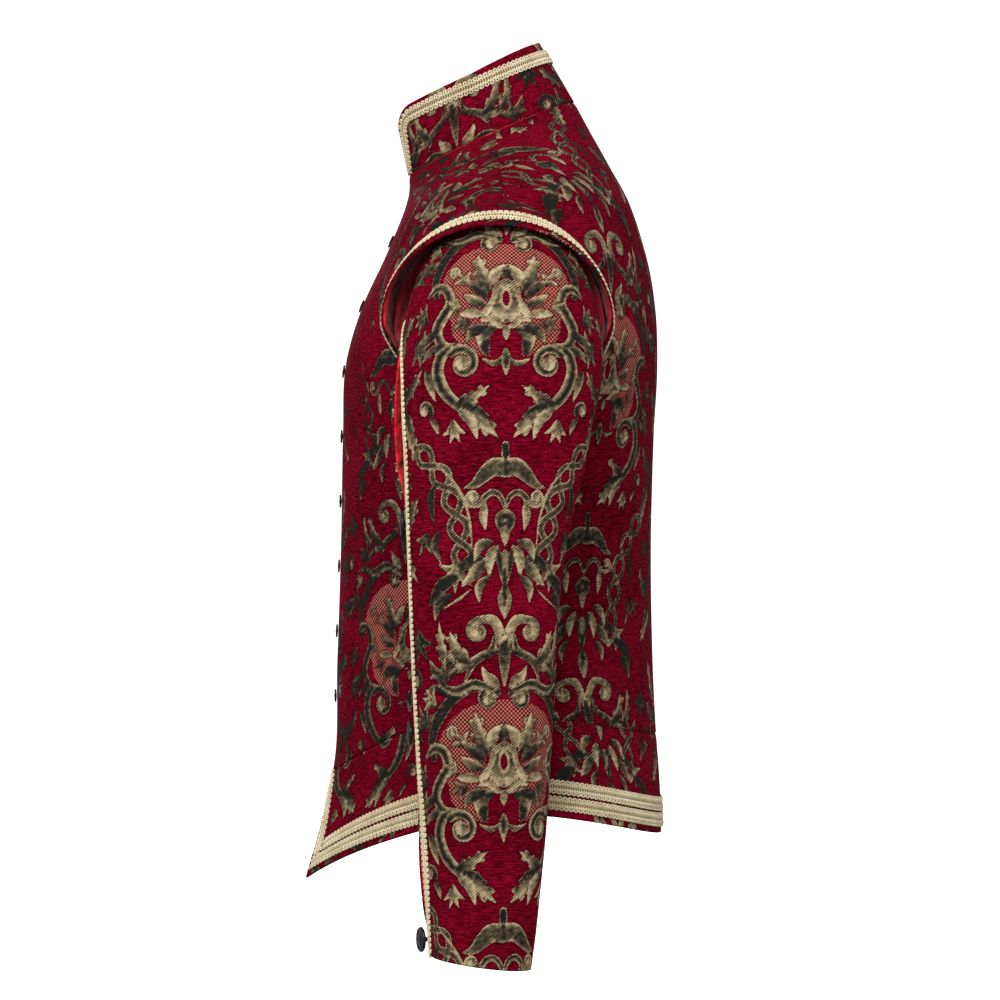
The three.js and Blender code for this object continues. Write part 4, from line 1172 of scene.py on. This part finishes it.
SLEEVE_CREASES = (
    (-44, 130, -34, 330, 1.1, 7),
    (44, 118, 50, 300, -1.1, 8),
    (12, 150, 16, 300, 0.6, 7),
    (96, 268, 30, 306, 1.5, 6),
    (100, 306, 44, 330, 1.3, 5),
    (96, 342, 40, 350, 1.1, 5),
    (84, 240, 52, 268, 0.9, 5),
    (-30, 118, -62, 196, 1.0, 6),
    (30, 112, 74, 190, 1.0, 7),
    (-86, 318, -40, 340, 0.9, 5),
    (-74, 350, -30, 362, 0.8, 5),
    (-40, 400, -30, 600, 0.9, 8),
    (26, 380, 32, 560, -0.9, 8),
    (60, 420, 46, 640, 0.9, 7),
    (4, 470, 8, 640, 0.7, 7),
)
UNDER_CREASES = (
    (60, 180, 70, 420, 1.2, 9),
    (150, 220, 140, 440, -1.0, 9),
    (40, 300, 120, 330, 1.5, 7),
    (44, 336, 110, 352, 1.2, 6),
    (120, 350, 190, 330, 1.2, 6),
    (100, 440, 96, 640, 1.0, 8),
    (60, 500, 56, 660, -0.8, 7),
)


def creased(p, n, u, v, table):
    """Moves a panel in along its troughs and out beside them."""
    lift = np.zeros(u.shape)
    for from_u, from_v, to_u, to_v, depth, width in table:
        du, dv = to_u - from_u, to_v - from_v
        size = math.hypot(du, dv)
        t = ((u - from_u) * du + (v - from_v) * dv) / size ** 2
        bow = 0.05 * size * np.sin(math.pi * np.clip(t, 0, 1))
        off = ((v - from_v) * du - (u - from_u) * dv) / size - bow
        wide = width * (0.75 + 0.5 * np.clip(t, 0, 1))
        fade = smoothstep(t, -0.1, 0.35) * (1 - smoothstep(t, 0.65, 1.1))
        trough = np.exp(-((off / wide) ** 2))
        ridge = np.exp(-(((np.abs(off) - 1.9 * wide) / wide) ** 2))
        lift += depth * fade * (0.35 * ridge - trough)
    return p + n * lift[..., None]


def seam_dip(p, n, edges, depth=0.9, width=2.4):
    """Draws a panel in along its sewn edges: its first or last row, or its left or right column."""
    down = np.linalg.norm(np.diff(p, axis=0, prepend=p[:1]), axis=-1).cumsum(0)
    over = np.linalg.norm(np.diff(p, axis=1, prepend=p[:, :1]), axis=-1).cumsum(1)
    away = {"first": down, "last": down[-1:] - down, "left": over, "right": over[:, -1:] - over}
    nearest = np.min([away[edge] for edge in edges], axis=0)
    return p - n * (depth * np.exp(-((nearest / width) ** 2)))[..., None]


def sewn(p, u, v, away, creases, edges):
    """A panel with its creases and sewn edges, and its normals. away lies on its inner side."""
    n = normals_of(p, away)
    p = seam_dip(creased(p, n, u, v, creases), n, edges)
    return p, normals_of(p, away)


def mirrored_pair(name, p, n, fields):
    for side, turned in SIDES:
        sheet_piece(name + side, turned(p), turned(n), fields)


def make_fronts():
    spacing, columns = GRIDS["body"]
    s, end = bodice_rows(-1, spacing)
    start = turn_at_x(np.full(s.shape, -LAP), s)
    p, turn, walked = even_rows(torso, s, start, end, columns)
    middle = np.array([np.interp(0, turn[i], walked[i]) for i in range(len(s))])
    u = walked - middle[:, None]
    v = body_height(turn, np.broadcast_to(s[:, None], turn.shape))
    p, n = sewn(p, u, v, body_away(p), FRONT_CREASES, ("last", "right"))
    fields = woven("front", u, v)
    # the chest beside the opening shows thinner sprays, and no lattice above the middle medallion
    plain = (1 - smoothstep(v, 180, 330)) * (1 - smoothstep(u, 70, 130)) * smoothstep(v, 10, 60)
    fields["figure"] = fields["figure"] + 2.6 * plain
    fields["lattice"] = np.where(v < 230, FAR_OFF, fields["lattice"])
    sheet_piece("front_left", p, n, fields)
    # the right front lies under the left one along the lap
    q, m = mirror_x(p), mirror_x(n)
    step = LAP_STEP * smoothstep(q[..., 0], -LAP - LAP_EASE, -LAP - 5)
    sheet_piece("front_right", q - m * step[..., None], m, fields)


def make_backs():
    spacing, columns = GRIDS["body"]
    s, end = bodice_rows(1, spacing)
    start = math.pi - turn_for(SEAM / 2, math.pi, s)
    p, turn, u = even_rows(torso, s, start, end, columns)
    v = body_height(turn, np.broadcast_to(s[:, None], turn.shape))
    p, n = sewn(p, u, v, body_away(p), BACK_CREASES, ("last", "left", "right"))
    mirrored_pair("back_", p, n, woven("back", u, v))


def make_basque():
    spacing, columns = GRIDS["basque"]
    s = steps_between(HEM, WAIST - SEAM / 2, spacing)
    down = 1 - s[:, None] / WAIST
    gap = turn_for(SEAM / 2, QUARTER, s)
    start = basque_edge(s)
    p, turn, walked = even_rows(torso, s, start, QUARTER - gap, columns)
    u = walked + torso(start, s)[:, None, 0]
    v = down * basque_length(turn)
    p, n = sewn(p, u, v, body_away(p), BASQUE_CREASES, ("last",))
    mirrored_pair("basque_front_", p, n, woven("basque_front", u, v))
    p, turn, walked = even_rows(torso_round, s, QUARTER + gap, 3 * QUARTER - gap, GRIDS["basque_back"][1])
    u = walked - walked[:, -1:] / 2
    v = down * basque_length(wrap(turn))
    p, n = sewn(p, u, v, body_away(p), BASQUE_BACK_CREASES, ("last",))
    sheet_piece("basque_back", p, n, woven("basque_back", u, v))


def collar_cut(along):
    """The share of the collar's height that its rounded front corners leave."""
    from_edge = np.minimum(along, 2 - along) * collar_top_length
    rest = np.maximum(COLLAR_CORNER - from_edge, 0)
    cut = COLLAR_CORNER - np.sqrt(np.maximum(0, COLLAR_CORNER ** 2 - rest ** 2))
    return 1 - cut / collar_height(along)


def make_collar():
    corner = COLLAR_CORNER * (1 - np.cos(np.linspace(0, QUARTER, 14))) / collar_top_length
    middle = steps_between(corner[-1], 2 - corner[-1], COLLAR_STEP / collar_top_length)[1:-1]
    along = np.concatenate([corner, middle, (2 - corner)[::-1]])
    up = np.linspace(0, 1, COLLAR_ROWS)[:, None] * collar_cut(along)[None, :]
    along = np.broadcast_to(along, up.shape)
    p = collar(along, up)
    n = normals_of(p, (0, -10, 20))
    u = (along - 1) * (collar_base_length + collar_top_length) / 2
    v = (1 - up) * collar_height(along)
    sheet_piece("collar", p, n, woven("collar", u, v))


def inside_wing(degrees):
    """Points well inside the wing, at the middle of the armhole."""
    a = np.radians(degrees)
    return np.stack([np.full(a.shape, 150.0), ARM_Y + 20 * np.sin(a), ARM_Z + 20 * np.cos(a)], -1)


def make_wings():
    degrees = steps_between(-WING_END, WING_END, WING_STEP)
    share = np.linspace(0, 1, WING_ROWS)[:, None] * np.ones(len(degrees))
    around = np.broadcast_to(degrees, share.shape)
    p = wing(around, share)
    n = normals_of(p, inside_wing(around))
    length = wing_length(degrees)
    middle = p[WING_ROWS // 2]
    u = np.cumsum(np.linalg.norm(np.diff(middle, axis=0, prepend=middle[:1]), axis=-1))
    u = np.broadcast_to(u - u[len(u) // 2], share.shape)
    v = share * length
    # the lining backs the outer half of the depth; painted shade darkens its colour above and deep inside,
    # away from the free edge
    lined = (WING_LINING_ROWS, np.abs(degrees) < WING_LINING_END)
    lining_n = n[lined]
    lining = p[lined] - lining_n * (CLOTH + LINING_GAP)
    hollow = weave_place(u[lined], v[lined])
    above = 1 - smoothstep(np.abs(degrees[lined[1]]), 62, 92)
    from_edge = (length * (1 - share))[lined] - 5
    hollow["deep"] = np.maximum(above, smoothstep(from_edge, 5, 17)) * 0.9
    for side, turned in SIDES:
        sheet_piece("wing_" + side, turned(p), turned(n), woven("wing", u, v))
        sheet_piece("wing_lining_" + side, turned(lining), turned(lining_n), hollow, "satin")


def sleeve_height(surface, degrees, s):
    flat = -surface(degrees, np.maximum(s, STRAIGHT_SLEEVE))[..., 2]
    above = np.minimum(s, STRAIGHT_SLEEVE)
    far = distance_up(surface, degrees, above, STRAIGHT_SLEEVE, 16)
    return flat - np.where(s < STRAIGHT_SLEEVE, far, 0)


def axis_degrees(s):
    """Where the middle of the pattern runs down the sleeve, upright in the side view."""
    y = lerp(10.0, 7.0, s / CUFF)
    return np.degrees(np.arcsin(np.clip((y - arm["y_mid"](s)) / arm["half_depth"](s), -1, 1)))


def sleeve_away(surface_s, shape):
    middle = (in_tube(0.0, surface_s) + in_tube(180.0, surface_s)) / 2
    return np.broadcast_to(middle[:, None, :], shape)


def sleeve_panel(surface, start, end, s, count):
    p, degrees, walked = even_rows(surface, s, start, end, count)
    height = sleeve_height(surface, degrees, np.broadcast_to(s[:, None], degrees.shape))
    away = sleeve_away(np.maximum(s, HEAD), p.shape)
    return p, away, degrees, walked, height


def under_panel(low, high, grid):
    """The sleeve's under side, from the back seam round to the slit."""
    spacing, columns = GRIDS[grid]
    s = steps_between(low, high, spacing)
    start = BACK_SEAM + degrees_for(SEAM / 2, s, BACK_SEAM)
    end = FULL + SLIT - degrees_for(SLIT_GAP, s, SLIT)
    p, away, _, u, v = sleeve_panel(under_sleeve, start, end, s, columns)
    n = normals_of(p, away)
    return creased(p, n, u, v, UNDER_CREASES), n, away, u, v


def make_sleeves():
    spacing, columns = GRIDS["sleeve"]
    s = steps_between(0, CUFF, spacing)
    end = BACK_SEAM - degrees_for(SEAM / 2, s, BACK_SEAM)
    p, away, degrees, walked, v = sleeve_panel(sleeve_tube, np.full(s.shape, SLIT), end, s, columns)
    middle = axis_degrees(np.maximum(s, HEAD))
    middle = np.array([np.interp(middle[i], degrees[i], walked[i]) for i in range(len(s))])
    u = walked - middle[:, None]
    p = creased(p, normals_of(p, away), u, v, SLEEVE_CREASES)
    n = normals_of(p, away)
    under, _, away, under_u, under_v = under_panel(0, CUFF, "under")
    under_n = normals_of(under, away)
    lining, lining_n, _, lining_u, lining_v = under_panel(SLEEVE_LINING_TOP, SLEEVE_LINING_END, "lining")
    lining = lining - lining_n * (CLOTH + LINING_GAP)
    for side, turned in SIDES:
        sheet_piece("sleeve_outer_" + side, turned(p), turned(n), woven("sleeve_outer", u, v))
        sheet_piece("sleeve_under_" + side, turned(under), turned(under_n),
                    woven("sleeve_under", under_u, under_v))
        sheet_piece("sleeve_lining_" + side, turned(lining), turned(lining_n),
                    weave_place(lining_u, lining_v), "satin")


# Braid. Each length is a strip of the surface beneath it: rows along it, five places across it.
ACROSS = np.linspace(0, 1, 5)
STRIP_ROWS = {"hem": 420, "front_edge": 160, "collar": 220, "wing": 200, "sleeve": 300}
NEAR_EDGE = 0.3  # a turn just behind the basque's front edge
WING_BRAID_FRONT, WING_BRAID_BACK = -109, 105  # degrees round the armhole
SLEEVE_BRAID_TOP = 28


class Strip:
    """Maps a place on the braid (along it, across it and above the cloth, in mm) to space."""

    def __init__(self, p, n, width=BRAID):
        self.p, self.n, self.width = p, n, width
        steps = np.linalg.norm(np.diff(p.mean(1), axis=0), axis=-1)
        self.far = np.concatenate([[0], np.cumsum(steps)])
        self.length = self.far[-1]

    def at(self, along, across, lift):
        row = np.interp(along, self.far, np.arange(len(self.far)))
        i = np.minimum(row.astype(int), len(self.far) - 2)
        t = (row - i)[..., None]
        col = np.clip(across / self.width, -0.02, 1.02) * 4
        j = np.clip(col.astype(int), 0, 3)
        where = (i, i + 1, j, t, (col - j)[..., None])
        return between(self.p, *where) + between(self.n, *where) * np.asarray(lift)[..., None]


def body_strip(lines):
    p = np.stack(lines, 1)
    return Strip(p, normals_of(p, body_away(p)))


def hem_strip(low):
    """A row of braid round the hem, as far from the front edge as from the hem."""
    lines = []
    for c in ACROSS:
        up = low + c * BRAID
        s = float(basque_s(up, NEAR_EDGE))
        start = float(walk(basque_edge(s), s, low))
        round_turn = np.linspace(start, 2 * math.pi - start, STRIP_ROWS["hem"])
        folded = np.where(round_turn > math.pi, 2 * math.pi - round_turn, round_turn)
        lines.append(torso_round(round_turn, basque_s(up, folded)))
    return body_strip(lines)


def front_edge_strip():
    up = np.linspace(UPPER_ROW, 200, STRIP_ROWS["front_edge"])
    s = basque_s(up, 0.25)
    s = s[s <= WAIST - SEAM]
    return body_strip([torso(walk(basque_edge(s), s, MARGIN + c * BRAID), s) for c in ACROSS])


def collar_strip():
    def line(across):
        edge = COLLAR_MARGIN_FRONT + across
        deep = COLLAR_CORNER - edge
        height = float(collar_height(0.0))
        straight = np.linspace(height - SEAM, COLLAR_CORNER, 24)
        t = np.linspace(0, QUARTER, 16)[1:-1]
        inward = np.concatenate([np.full(24, edge), COLLAR_CORNER - deep * np.cos(t)])
        down = np.concatenate([straight, COLLAR_CORNER - deep * np.sin(t)])
        along, up = np.zeros_like(inward), np.ones_like(inward)
        for _ in range(4):
            along = inward / lerp(collar_base_length, collar_top_length, up)
            up = 1 - down / collar_height(along)
        first = COLLAR_CORNER / collar_top_length
        top = np.linspace(first, 2 - first, STRIP_ROWS["collar"])
        towards_back = smoothstep(np.minimum(top, 2 - top), first, 1)
        top_down = lerp(COLLAR_MARGIN_FRONT, COLLAR_MARGIN_BACK, towards_back) + across
        top_up = 1 - top_down / collar_height(top)
        whole = np.concatenate([along, top, (2 - along)[::-1]])
        return collar(whole, np.concatenate([up, top_up, up[::-1]]))

    p = np.stack([line(c * BRAID) for c in ACROSS], 1)
    return Strip(p, normals_of(p, (0, -10, 20)))


def wing_strip():
    degrees = np.linspace(WING_BRAID_FRONT, WING_BRAID_BACK, STRIP_ROWS["wing"])
    length = wing_length(degrees)
    top = np.maximum(0.45, 1 - (MARGIN + BRAID) / length)
    foot = 1 - np.minimum(0.25, MARGIN / length)
    p = np.stack([wing(degrees, lerp(foot, top, c)) for c in ACROSS], 1)
    return Strip(p, normals_of(p, inside_wing(degrees)[:, None, :]))


def sleeve_strip():
    s = np.linspace(SLEEVE_BRAID_TOP, CUFF, STRIP_ROWS["sleeve"])
    cols = []
    for c in ACROSS:
        degrees = SLIT + degrees_for(SLIT_MARGIN + c * SLEEVE_BRAID, s, SLIT)
        cols.append(sleeve_tube(degrees, s))
    p = np.stack(cols, 1)
    return Strip(p, normals_of(p, sleeve_away(s, p.shape)), SLEEVE_BRAID)


LOOP_PITCH = 4.8
CORD = 0.8  # radius of the looping edge cords
STITCH = {"out": 3.5, "past": 0.7, "run": 2.2, "half": 0.98, "high": 1.35}
LOOP_BACK = 2.65  # how far a loop swings along the braid
LOOP_DEEP = 1.75  # and half as far as it swings across it
LOOP_STEPS = 12


def tube_faces(rows, sides):
    """The faces round a row of rings, and a cap at each end."""
    caps = [np.arange(sides)[::-1], (rows - 1) * sides + np.arange(sides)]
    return [*quads_of(rows, sides, closed=True)[:, [0, 3, 2, 1]], *caps]


def tube(strip, along, across, lift, radius, sides=4):
    """A closed cord along a path given in the strip's own measures."""
    centre = strip.at(along, across, lift)
    tangent = np.gradient(centre, axis=0)
    tangent /= np.linalg.norm(tangent, axis=-1, keepdims=True)
    up = strip.at(along, across, lift + 1.0) - centre
    side = np.cross(tangent, up)
    side /= np.maximum(np.linalg.norm(side, axis=-1, keepdims=True), 1e-9)
    up = np.cross(side, tangent)
    a = np.arange(sides) * 2 * math.pi / sides + math.pi / 4
    ring_at = (side[:, None] * np.cos(a)[:, None] + up[:, None] * np.sin(a)[:, None]) * radius
    return (centre[:, None] + ring_at).reshape(-1, 3), tube_faces(len(centre), sides)


def lenses(strip, a0, c0, a1, c1, half, high):
    """Short raised stitches, each a stretched eight-sided lens from one place to another."""
    count = len(a0)
    mid_a, mid_c = (a0 + a1) / 2, (c0 + c1) / 2
    da, dc = a1 - a0, c1 - c0
    length = np.hypot(da, dc)
    sa, sc = -dc / length * half, da / length * half
    base = np.full(count, 0.75)
    corners = [
        (a0, c0, base), (a1, c1, base), (mid_a + sa, mid_c + sc, base), (mid_a - sa, mid_c - sc, base),
        (mid_a, mid_c, base + high), (mid_a, mid_c, base - 0.4),
    ]
    verts = np.stack([strip.at(a, c, h) for a, c, h in corners], 1).reshape(-1, 3)
    upper = [[0, 2, 4], [2, 1, 4], [1, 3, 4], [3, 0, 4]]
    lower = [[2, 0, 5], [1, 2, 5], [3, 1, 5], [0, 3, 5]]
    faces = (np.arange(count)[:, None, None] * 6 + np.array(upper + lower)).reshape(-1, 3)
    return verts, faces


def make_braid(name, strip, turned=np.array):
    """A flat ground coloured dark brown as painted shade, a looping cord down each edge and two rows of
    slanted stitches.
    """
    loops = max(3, int(round(strip.length / LOOP_PITCH)))
    pitch = strip.length / loops
    narrow = strip.width / BRAID
    rows = max(2, int(strip.length / 5))
    along = np.linspace(0.3, strip.length - 0.3, rows)
    # the flat ground under the loops, which takes the dark brown of painted shade
    cross = [(1.6, 0.15), (1.6, 0.5), (strip.width - 1.6, 0.5), (strip.width - 1.6, 0.15)]
    ground = np.stack([strip.at(along, np.full(rows, c), np.full(rows, BRAID_LIFT + h)) for c, h in cross], 1)
    parts = [(ground.reshape(-1, 3), tube_faces(rows, 4))]
    t = np.linspace(0, 2 * math.pi * loops, loops * LOOP_STEPS + 1)
    for edge, inward in ((0.0, 1.0), (strip.width, -1.0)):
        a = np.clip(pitch * t / (2 * math.pi) - LOOP_BACK * np.sin(t), 0.2, strip.length - 0.2)
        c = edge + inward * (CORD + LOOP_DEEP * narrow * (1 - np.cos(t)))
        h = BRAID_LIFT + CORD + 0.2 + 0.3 * np.cos(t + 2.2)
        parts.append(tube(strip, a, c, h, CORD))
    # the stitches meet along the middle
    count = loops * 2
    start = np.clip((np.arange(count) + 0.25) * strip.length / count, 0.3, strip.length - 2.8)
    middle = strip.width / 2
    for sign in (-1.0, 1.0):
        outer = np.full(count, middle + sign * STITCH["out"] * narrow)
        inner = np.full(count, middle - sign * STITCH["past"])
        end = start + STITCH["run"]
        parts.append(lenses(strip, start, outer, end, inner, STITCH["half"], STITCH["high"]))
    firsts = np.cumsum([0] + [len(verts) for verts, _ in parts])
    faces = [face + first for (_, part), first in zip(parts, firsts) for face in part]
    if turned is mirror_x:
        faces = [face[::-1] for face in faces]
    # the ground's faces take the second material, the painted shade
    slot = np.zeros(len(faces), int)
    slot[: len(parts[0][1])] = 1
    points = turned(np.concatenate([verts for verts, _ in parts]))
    place(link_mesh(name, points, faces, [gimp, gimp_painted_shade], slot), "braid", name)


def make_braids():
    make_braid("hem_braid_lower", hem_strip(MARGIN))
    make_braid("hem_braid_upper", hem_strip(UPPER_ROW))
    make_braid("collar_braid", collar_strip())
    paired = {"basque": front_edge_strip(), "wing": wing_strip(), "sleeve": sleeve_strip()}
    for side, turned in SIDES:
        for place_name, strip in paired.items():
            make_braid(f"{place_name}_braid_{side}", strip, turned)


# Buttons
BUTTON_SIDES = 32
# the face of a button as shares of its radius and height: a rounded rim, a groove and a dome
BUTTON_SHAPE = (
    (0.9, 0.06), (0.98, 0.2), (1, 0.42), (0.98, 0.62), (0.93, 0.76), (0.87, 0.8), (0.8, 0.74),
    (0.74, 0.6), (0.66, 0.6), (0.5, 0.76), (0.3, 0.92), (0.12, 0.99), (0, 1),
)


def button_mesh(name, at, normal, size, up):
    radius, height, shank, foot = (size[k] for k in ("radius", "height", "shank", "foot"))
    low = foot - up
    profile = [(0, low), (shank, low), (shank, -0.2), (shank + 0.4, 0), (0.7 * radius, 0)]
    profile += [(r * radius, h * height) for r, h in BUTTON_SHAPE]
    normal = np.array(normal, float) / np.linalg.norm(normal)
    across = np.cross(normal, [0, 0, 1.0])
    across /= np.linalg.norm(across)
    other = np.cross(normal, across)
    back = np.asarray(at) + normal * up
    angles = np.arange(BUTTON_SIDES) * 2 * math.pi / BUTTON_SIDES
    spokes = across * np.cos(angles)[:, None] + other * np.sin(angles)[:, None]
    rings = [back + normal * h + spokes * r for r, h in profile[1:-1]]
    tips = [back + normal * profile[k][1] for k in (0, -1)]
    faces = list(quads_of(len(rings), BUTTON_SIDES, closed=True)[:, [1, 0, 3, 2]])
    tip = len(rings) * BUTTON_SIDES
    j = np.arange(BUTTON_SIDES)
    follow = (j + 1) % BUTTON_SIDES
    last = tip - BUTTON_SIDES
    faces += list(np.stack([j, follow, np.full_like(j, tip)], -1))
    faces += list(np.stack([follow + last, j + last, np.full_like(j, tip + 1)], -1))
    place(link_mesh(name, np.concatenate(rings + [tips]), faces, [horn]), "button", name)


def make_buttons():
    for k, (s, tilt) in enumerate(SLEEVE_BUTTONS, 1):
        degrees = SLIT - degrees_for(SLEEVE_BUTTON_PAST_SLIT, float(s), SLIT)
        p = sleeve_tube(float(degrees), float(s))
        a = math.radians(tilt)
        n = np.array([math.sin(a), -math.cos(a), 0])
        fold = float((sleeve_tube(SLIT, float(s)) - p) @ n)
        up = fold + BRAID_LIFT + 1.6 + SEAM + SLEEVE_BUTTON["radius"] * math.sin(a) / 2
        for side, turned in SIDES:
            button_mesh(f"sleeve_button_{side}_{k}", turned(p), turned(n), SLEEVE_BUTTON, up)
    s = np.linspace(WAIST, NECK, 400)
    line = torso(0.0, s)
    for k in range(FRONT_BUTTON_COUNT):
        z = FRONT_BUTTON_TOP - k * FRONT_BUTTON_STEP
        at = float(np.interp(z, line[:, 2], s))
        p = torso(0.0, at)
        ahead = torso(0.0, at + 2) - torso(0.0, at - 2)
        n = np.cross(np.array([1.0, 0, 0]), ahead)
        n = n / np.linalg.norm(n)
        n = n if n[1] < 0 else -n
        button_mesh(f"front_button_{k + 1}", p, n, FRONT_BUTTON, FRONT_BUTTON_UP)


make_fronts()
make_backs()
make_basque()
make_collar()
make_wings()
make_sleeves()
make_braids()
make_buttons()


# Camera, lights and backdrop, in metres and watts
VIEW_DISTANCE, VIEW_WIDE = 4.0, 0.88
VIEW_MIDDLE = (0.0044, -0.308)  # the Y and Z that the picture's middle shows
SENSOR = 36.0
LIT_PLACE = (0.1, 0, -0.32)
LIGHTS = (
    # name, place, size, power
    ("key", (3.0, -0.5, 1.8), 1.3, 98),
    ("front", (0.4, -3.2, 0.8), 1.6, 11),
    ("rear", (1.0, 3.2, 0.6), 1.6, 12),
    ("far_side", (-3.2, -0.3, 1.4), 1.6, 50),
)
SKY = 0.38


def add_object(name, data, at):
    made = bpy.data.objects.new(name, data)
    made.location = at
    bpy.context.scene.collection.objects.link(made)
    return made


def make_camera():
    data = bpy.data.cameras.new("camera")
    data.sensor_width = SENSOR
    data.lens = SENSOR * VIEW_DISTANCE / VIEW_WIDE
    data.clip_end = 100
    camera = add_object("camera", data, (VIEW_DISTANCE, *VIEW_MIDDLE))
    camera.rotation_euler = (math.pi / 2, 0, math.pi / 2)
    bpy.context.scene.camera = camera


def make_light(name, at, size, power):
    data = bpy.data.lights.new(name, "AREA")
    data.size = size
    data.energy = power
    towards = Vector(np.array(LIT_PLACE) - np.array(at))
    add_object(name, data, at).rotation_euler = towards.to_track_quat("-Z", "Y").to_euler()


def make_sky():
    world = bpy.data.worlds.new("studio")
    world.use_nodes = True
    background = world.node_tree.nodes["Background"]
    background.inputs["Color"].default_value = (1, 1, 1, 1)
    background.inputs["Strength"].default_value = SKY
    bpy.context.scene.world = world
    bpy.context.scene.view_settings.view_transform = "Standard"


def stage_piece(name):
    """Floor and room are white and seen, but throw no light of their own on the coat."""
    piece = bpy.context.object
    piece.name = name
    white = Nodes(name).finish((0.93, 0.93, 0.93), 0.9, Emission_Color=(1, 1, 1), Emission_Strength=1.0)
    piece.data.materials.append(white)
    piece.visible_diffuse = piece.visible_glossy = piece.visible_shadow = False


make_camera()
for light in LIGHTS:
    make_light(*light)
make_sky()
bpy.ops.mesh.primitive_plane_add(size=30, location=(0, 0, -0.80))
stage_piece("floor")
bpy.ops.mesh.primitive_uv_sphere_add(segments=64, ring_count=32, radius=14)
stage_piece("backdrop")
